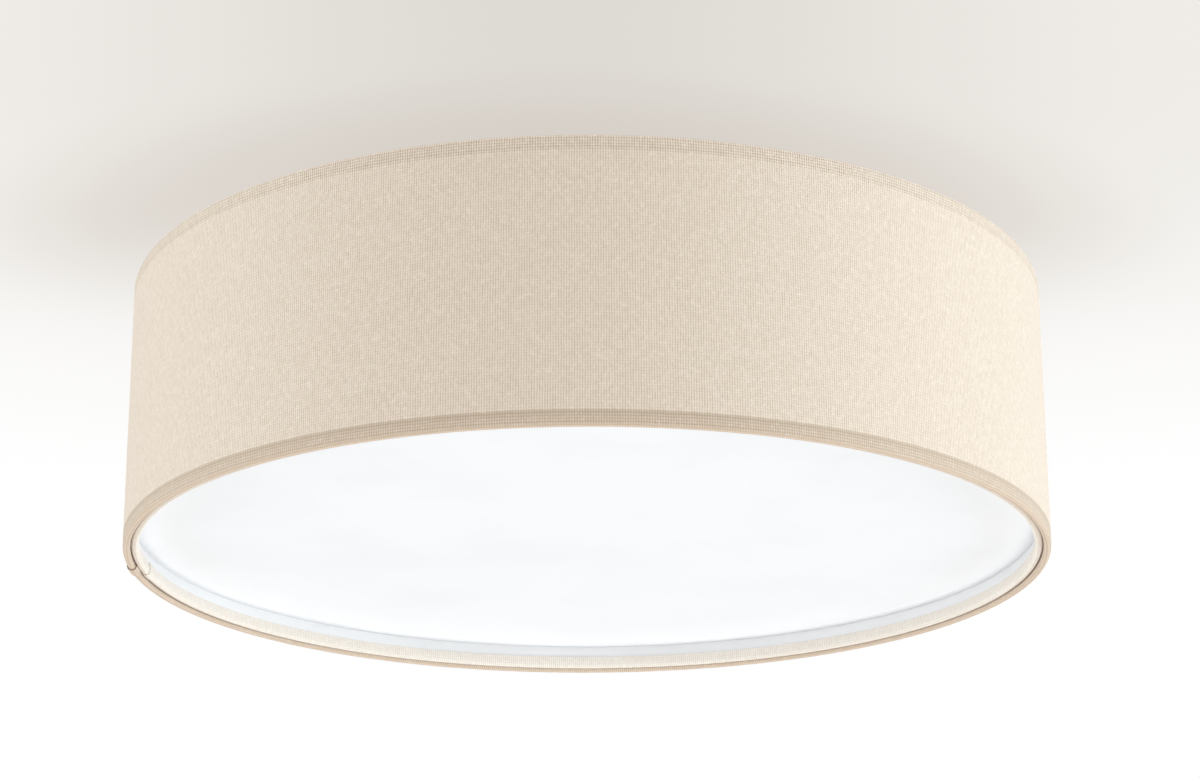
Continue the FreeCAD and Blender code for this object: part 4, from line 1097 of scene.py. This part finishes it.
@dataclass
class Bulb:
    """A globe bulb with a screw cap, one of three."""

    number: int
    place: Matrix
    opal: Moulding
    plastic: Moulding
    nickel: Metal
    cap_start: float = 54 * MM
    tip_gap: float = 0.03 * MM
    cap_end: float = 78.5 * MM
    cap_radius: float = 13.1 * MM
    cap_inner: float = 11.8 * MM
    end_radius: float = 5 * MM
    pitch: float = 3.63 * MM
    thread: float = 0.9 * MM
    thread_start: float = 1.4 * MM
    thread_end: float = 3.2 * MM
    thread_steps: int = 52
    plug_gap: float = 0.05 * MM
    neck: float = 13.7 * MM
    flare_start: float = 4 * MM
    flare_height: float = 29 * MM
    flare_steps: int = 15
    flare_ease: float = 0.35
    edge: float = 113 * MM
    edge_radius: float = 24.7 * MM
    globe_centre: float = 130 * MM
    globe_radius: float = 30 * MM
    globe_wall: float = 1.2 * MM
    globe_steps: int = 36

    def body(self) -> str:
        """The body that the bulb rides on."""
        return f"bulb_{self.number}"

    def globe(self) -> None:
        """Build the opal dome: a thin ball, open where it meets the housing."""
        centre = (0, self.globe_centre)
        thin = self.globe_radius - self.globe_wall
        depth = self.edge - self.globe_centre
        outer, inner = (math.degrees(math.asin(depth / radius)) for radius in (self.globe_radius, thin))
        made = arc(centre, self.globe_radius, outer, 90, self.globe_steps)
        made += arc(centre, thin, 90, inner, self.globe_steps)
        item = lathe(f"bulb_dome_{self.number}", made, self.place)
        material = self.opal.material(f"frosted opal globe {self.number}")
        settle(item, material, self.body(), f"bulb_globe_{self.number}")

    def housing(self) -> None:
        """Build the flared body between cap and globe, with a fine parting step and a rim bead."""
        plug = self.cap_inner - self.plug_gap
        floor = self.cap_start + self.pitch
        made: Outline = [(0, floor), (plug, floor), (plug, self.cap_end)]
        made += near((self.neck, self.cap_end), (-0.4, 0), (0, 0.4), (0, 3.2), (-0.45, 3.5), (-0.45, 3.9))
        for step in range(1, self.flare_steps):
            share = step / self.flare_steps
            eased = smooth(share) * self.flare_ease + share * (1 - self.flare_ease)
            along = self.cap_end + self.flare_start + share * self.flare_height
            made.append((self.neck + (self.edge_radius - self.neck) * eased, along))
        made += near((self.edge_radius, self.edge), (0, -1.2), (0, -0.25), (-0.35, 0))
        made.append((0, self.edge))
        item = lathe(f"bulb_base_{self.number}", made, self.place)
        material = self.plastic.material(f"white bulb plastic {self.number}")
        settle(item, material, self.body(), f"bulb_housing_{self.number}")

    def cap(self) -> None:
        """Build the screw cap with its rolled helical thread."""
        root = self.cap_radius - self.thread
        first = self.cap_start + self.thread_start
        last = self.cap_end - self.thread_end
        base = self.cap_start + self.tip_gap
        floor = self.cap_start + self.pitch
        made: Outline = [(0, base), (self.end_radius, base)] + near((root, first), (-1.2, -0.4))
        start = len(made)
        steps = self.thread_steps
        made += [(root, first + (last - first) * step / steps) for step in range(steps + 1)]
        stop = len(made)
        made += near((root, self.cap_end), (0, -1.6), (0.3, -1.2), (0.3, 0))
        made += [(self.cap_inner, self.cap_end), (self.cap_inner, floor), (0, floor)]

        def thread(angle: float, index: int) -> float:
            """How far the rolled thread stands out.

            Args:
                angle: Angle round the axis.
                index: Number of the outline's point.

            Returns:
                What it adds to the radius.
            """
            if not start <= index < stop:
                return 0.0
            along = made[index][1]
            fade = min((along - first) / self.pitch, (last - along) / self.pitch, 1.0)
            phase = 2 * math.pi * along / self.pitch - angle
            return self.thread * max(fade, 0.0) * (0.5 + 0.5 * math.cos(phase))

        item = lathe(f"bulb_screw_cap_{self.number}", made, self.place, swell=thread)
        material = self.nickel.material(f"nickel screw cap {self.number}")
        settle(item, material, self.body(), f"bulb_cap_{self.number}")

    def build(self) -> None:
        """Build the bulb's three pieces."""
        self.globe()
        self.housing()
        self.cap()


@dataclass
class Holder:
    """A moulded lampholder: a cup with a ribbed skirt and a threaded spigot at its back."""

    number: int
    place: Matrix
    finish: Moulding
    spigot_end: float = 24 * MM
    spigot: float = 5 * MM
    spigot_lead: float = 0.4 * MM
    spigot_pitch: float = 1 * MM
    spigot_turns: int = 7
    spigot_thread: float = 0.35 * MM
    bore: float = 3.2 * MM
    bore_end: float = 45.5 * MM
    back: float = 31.5 * MM
    back_radius: float = 15 * MM
    radius: float = 20 * MM
    mouth: float = 80 * MM
    seat: float = 13.95 * MM
    floor: float = 50 * MM
    ribs: int = 36
    rib_segments: int = 6
    rib_start: float = 15.6 * MM
    rib_step: float = 2.9 * MM
    rib_rows: int = 9
    rib_depth: float = 0.55 * MM

    def build(self) -> None:
        """Turn the holder, with ribs round its skirt, and dress it."""
        made: Outline = [(self.bore, self.spigot_end)] + near((self.spigot, self.spigot_end), (-0.3, 0))
        for step in range(self.spigot_turns * 2):
            along = self.spigot_end + self.spigot_lead + step * self.spigot_pitch / 2
            made.append((self.spigot - self.spigot_thread * (step % 2), along))
        made += near((self.spigot, self.back), (-0.1, 0))
        made += near((self.back_radius, self.back), (-0.6, 0), (0, 0.6))
        made += near((self.radius, self.back), (-0.35, 7.6), (0, 8.4), (0, 13.5), (-0.6, 14), (-0.6, 15))
        start = len(made)
        first = self.back + self.rib_start
        made += [(self.radius, first + step * self.rib_step) for step in range(self.rib_rows)]
        stop = len(made)
        made += near((self.radius, self.mouth), (-0.5, -8.6), (-0.5, -7.4), (0, -6.8), (0, -0.9))
        made += near((self.radius, self.mouth), (-0.3, -0.2), (-0.9, 0))
        made += near((self.seat, self.mouth), (1.5, 0), (0, -1.5))
        made += [(self.seat, self.floor), (0, self.floor), (0, self.bore_end), (self.bore, self.bore_end)]

        def flute(angle: float, index: int) -> float:
            """How far a grip flute is cut in.

            Args:
                angle: Angle round the axis.
                index: Number of the outline's point.

            Returns:
                What it adds to the radius, 0 or less.
            """
            if not start <= index < stop:
                return 0.0
            fade = min(index - start, stop - 1 - index, 1)
            return -self.rib_depth * fade * (0.5 - 0.5 * math.cos(self.ribs * angle)) ** 2

        item = lathe(f"lampholder_cup_{self.number}", made, self.place, self.ribs * self.rib_segments, flute)
        material = self.finish.material(f"white holder plastic {self.number}")
        settle(item, material, Body.CEILING_UNIT.value, f"lampholder_{self.number}")


# Carried-over pieces ---------------------------------------------------------------------------------


@dataclass
class CarriedPieces:
    """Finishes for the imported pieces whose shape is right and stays, by node name without its number."""

    finishes: dict[str, Finish]

    def dress(self) -> None:
        """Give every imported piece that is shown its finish."""
        for name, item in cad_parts.items():
            stem = name.rstrip("0123456789").rstrip("_")
            finish = self.finishes.get(stem)
            if finish is None or item.hide_render:
                continue
            material = finish.material(f"{stem.replace('_', ' ')} finish {name[-1]}")
            for holder in item.material_slots:
                holder.material = material
            LOG.info("%s keeps its shape and takes a new finish", name)


# Studio ----------------------------------------------------------------------------------------------


@dataclass(frozen=True)
class SoftLamp:
    """A large square lamp that faces the light. Its power is in watts."""

    name: str
    place: Point
    size: float
    power: float
    tint: Colour
    target: Point = (0, 0, -0.08)

    def build(self) -> None:
        """Set up the lamp, out of the camera's sight."""
        data = bpy.data.lights.new(self.name, "AREA")
        data.shape = "SQUARE"
        data.size = self.size
        data.energy = self.power
        data.color = self.tint
        made = bpy.data.objects.new(self.name, data)
        bpy.context.scene.collection.objects.link(made)
        made.location = self.place
        made.rotation_mode = "QUATERNION"
        made.rotation_quaternion = (Vector(self.target) - Vector(self.place)).to_track_quat("-Z", "Y")
        made.visible_camera = False


@dataclass
class Studio:
    """Camera, pale floor, soft lamps and the world behind them.

    The background is set by the direction of view, whose parts are side, ahead and rise: it greys above the
    horizon's range of rise, and the painted shadow of the drum on the ceiling is an oval in side and rise.
    """

    camera_place: Point = (-0.0156, -1.6582, -0.6043)
    yaw: float = 0.7883
    pitch: float = 18.5337
    roll: float = -0.1774
    lens: float = 94.789
    sensor: float = 36.0
    sight: Pair = (0.01, 200)
    floor_height: float = -5.0
    floor_radius: float = 70.0
    floor_steps: int = 96
    floor_colour: Colour = srgb(240, 239, 236)
    floor_lift: float = 0.44
    # The upper background is darker in the middle than aside: painted shadow of the drum on the ceiling.
    above: Colour = srgb(222, 218, 212)
    aside: Colour = srgb(239, 236, 231)
    below: Colour = srgb(255, 255, 255)
    shadow: Colour = srgb(207, 197, 186)
    horizon: Pair = (0.28, 0.4)
    aside_reach: float = 0.2
    ceiling_shadow_middle: float = 0.3469
    ceiling_shadow_half_width: float = 0.1405
    ceiling_shadow_half_height: float = 0.0459
    ceiling_shadow_edge: Ramp = (0.95, 1.5, 0.5, 0.0)
    ceiling_shadow_rise: Pair = (0.33, 0.37)
    sky: float = 0.6
    sky_tint: Colour = (1.0, 0.965, 0.91)
    lamps: tuple[SoftLamp, ...] = (
        SoftLamp("soft lamp, left", (-2.6, -0.9, -0.45), size=1.8, power=38.0, tint=COOL_TINT),
        SoftLamp("soft lamp, right", (2.6, -0.9, -0.45), size=1.8, power=55.0, tint=COOL_TINT),
        SoftLamp("soft lamp, below", (0.12, 0.2, -2.6), size=1.8, power=33.0, tint=WHITE_TINT),
        SoftLamp("soft lamp, above", (0.0, 0.0, 2.4), size=0.5, power=18.0, tint=WHITE_TINT),
    )

    def camera(self) -> None:
        """Set the camera at the photograph's viewing angle."""
        data = bpy.data.cameras.new("view")
        data.lens = self.lens
        data.sensor_width = self.sensor
        data.clip_start, data.clip_end = self.sight
        made = bpy.data.objects.new("view", data)
        bpy.context.scene.collection.objects.link(made)
        yaw, pitch, roll = (math.radians(value) for value in (self.yaw, self.pitch, self.roll))
        ahead = Vector((math.sin(yaw) * math.cos(pitch), math.cos(yaw) * math.cos(pitch), math.sin(pitch)))
        right = ahead.cross(Vector((0, 0, 1))).normalized()
        rise = right.cross(ahead)
        side = right * math.cos(roll) + rise * math.sin(roll)
        top = rise * math.cos(roll) - right * math.sin(roll)
        turn = Matrix((side, top, -ahead)).transposed().to_4x4()
        made.matrix_world = Matrix.Translation(self.camera_place) @ turn
        bpy.context.scene.camera = made

    def floor(self) -> None:
        """Lay the plain pale floor."""
        edge = arc((0, 0), self.floor_radius, 0, 360, self.floor_steps)[:-1]
        points = [(*spot, self.floor_height) for spot in edge]
        made = mesh_object("floor", points, [range(self.floor_steps)], TURNED_EDGE)
        surface = Surface("pale studio floor")
        cloud = surface.noise(surface.place(), scale=1.5, detail=3)
        seen = surface.node("ShaderNodeLightPath").outputs["Is Camera Ray"]
        surface.set(
            Base_Color=surface.mottle(cloud, self.floor_colour, keep=0.97),
            Roughness=0.9,
            Emission_Color=(1.0, 1.0, 1.0),
            Emission_Strength=surface.math("MULTIPLY", seen, self.floor_lift),
        )
        dress(made, surface.material)

    def world(self) -> None:
        """Light the scene evenly, and show a white background that greys towards the ceiling, with painted
        shadow on the ceiling above the drum.
        """
        made = bpy.data.worlds.new("soft studio")
        bpy.context.scene.world = made
        made.use_nodes = True
        graph = Graph(made.node_tree)
        graph.tree.nodes.clear()
        side, ahead, rise = graph.split(graph.node("ShaderNodeTexCoord").outputs["Generated"])
        # Darker in the middle, above the drum: painted shadow on the ceiling.
        apart = graph.ramp(graph.math("ABSOLUTE", side), low=0.0, high=self.aside_reach)
        upper = graph.mix(apart, self.above, self.aside)
        tint = graph.mix(graph.ramp(rise, *self.horizon), self.below, upper)
        shaded = graph.mix(self._ceiling_shadow(graph, side, ahead, rise), tint, self.shadow)
        light = graph.node("ShaderNodeBackground", self.sky_tint, self.sky).outputs[0]
        seen = graph.node("ShaderNodeBackground", shaded, 1.0).outputs[0]
        rays = graph.node("ShaderNodeLightPath").outputs
        either = graph.math("MAXIMUM", rays["Is Camera Ray"], rays["Is Glossy Ray"])
        clear = graph.math("MAXIMUM", either, rays["Is Transmission Ray"])
        blend = graph.node("ShaderNodeMixShader", clear, light, seen).outputs[0]
        graph.node("ShaderNodeOutputWorld", blend)

    def _ceiling_shadow(self, graph: Graph, side: Socket, ahead: Socket, rise: Socket) -> Socket:
        """The painted soft shadow that the drum leaves on the ceiling behind it.

        Args:
            graph: The world's nodes.
            side: How far the view points to the right.
            ahead: How far it points ahead.
            rise: How far it points up.

        Returns:
            The shadow's strength, 0 to 1.
        """
        wide = graph.math("DIVIDE", side, self.ceiling_shadow_half_width)
        high = graph.math("DIVIDE", graph.math("SUBTRACT", rise, self.ceiling_shadow_middle), self.ceiling_shadow_half_height)
        far = graph.math("SQRT", graph.math("MULTIPLY_ADD", high, high, graph.math("MULTIPLY", wide, wide)))
        oval = graph.math("MULTIPLY", graph.ramp(far, *self.ceiling_shadow_edge), graph.ramp(rise, *self.ceiling_shadow_rise))
        return graph.math("MULTIPLY", oval, graph.math("GREATER_THAN", ahead, 0.0))

    def build(self) -> None:
        """Set up everything round the light."""
        self.camera()
        self.floor()
        self.world()
        for lamp in self.lamps:
            lamp.build()
        bpy.context.scene.view_settings.view_transform = "Standard"


# The whole light -------------------------------------------------------------------------------------


@dataclass
class CeilingLight:
    """The whole light, sub-assembly by sub-assembly."""

    axis_height: float = -60 * MM
    holder_angles: tuple[int, ...] = (60, 180, 300)

    def cloths(self) -> None:
        """Wind the drum's and the insert's cloths."""
        weave = Weave(thread=srgb(250, 234, 218), shadow=srgb(211, 189, 167), deep_shadow=srgb(128, 108, 90))
        DrumFabric(weave).build()
        # The insert's cloth is the drum's weave painted paler and greyer, lighter than the same cloth on the
        # drum.
        InsertCloth(replace(weave, thread=srgb(247, 239, 229), shadow=srgb(225, 211, 196))).build()

    def lamps(self) -> None:
        """Build the three holders and bulbs."""
        holder = Moulding(srgb(236, 235, 230), roughness=0.38)
        opal = Moulding(srgb(249, 248, 243), roughness=0.5, grain=1500, depth=0.012 * MM, glow=0.25)
        plastic = Moulding(srgb(243, 242, 238), roughness=0.4)
        nickel = Metal(srgb(214, 211, 205), roughness=0.26)
        for number, angle in enumerate(self.holder_angles, 1):
            place = along_axis(angle, self.axis_height)
            Holder(number, place, holder).build()
            Bulb(number, place, opal, plastic, nickel).build()

    def carried(self) -> None:
        """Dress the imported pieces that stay."""
        steel = Metal(srgb(206, 208, 210), roughness=0.42, lines=(40, 700, 700))
        turned_steel = Metal(srgb(202, 204, 208), roughness=0.36, lines=(500, 500, 80))
        brass = Metal(srgb(214, 184, 118), roughness=0.3, lines=(500, 500, 60))
        white = Powder(srgb(242, 242, 239))
        lining = Moulding(srgb(247, 246, 243), roughness=0.5, grain=700, depth=0.015 * MM)
        disc = Moulding(srgb(248, 249, 252), roughness=0.34, grain=1200, depth=0.008 * MM, glow=0.1)
        groups = (
            (steel, "mounting_bar", "lampholder_bracket"),
            (turned_steel, "bar_studs", "shade_studs", "bracket_rivets", "terminal_screws", "block_screws"),
            (turned_steel, "top_wire_ring", "bottom_wire_ring", "insert_wire_ring"),
            (Metal(srgb(214, 215, 217), roughness=0.24, lines=(300, 300, 60)), "cap_nuts"),
            (Metal(srgb(196, 196, 198), roughness=0.3, lines=(400, 400, 60)), "diffuser_magnets"),
            (brass, "contact_shell", "centre_contact", "earth_terminal", "bulb_tip", "thumb_nut"),
            (white, "ceiling_pan", "shade_arm", "magnet_tab"),
            (Moulding(srgb(46, 46, 47), roughness=0.62, grain=700, depth=0.03 * MM), "cable_grommet"),
            (Moulding(srgb(228, 227, 221), roughness=0.4), "lampholder_nut"),
            (Moulding(srgb(238, 236, 226), roughness=0.45), "terminal_block"),
            (Insulation(srgb(121, 74, 44)), "live_wires"),
            (Insulation(srgb(52, 106, 186)), "neutral_wires"),
            (Insulation(srgb(92, 160, 62), srgb(238, 214, 62)), "earth_wire"),
            (lining, "shade_lining"),
            (replace(lining, colour=srgb(252, 250, 250)), "insert_lining"),
            (disc, "diffuser_disc"),
        )
        CarriedPieces({stem: finish for finish, *stems in groups for stem in stems}).dress()

    def build(self) -> None:
        """Build and dress every piece."""
        self.cloths()
        self.lamps()
        self.carried()


def main() -> None:
    """Build the studio and the light."""
    logging.basicConfig(level=logging.INFO, format="%(name)s: %(message)s")
    Studio().build()
    CeilingLight().build()
    LOG.info("boxes written")


if __name__ == "__main__":
    main()
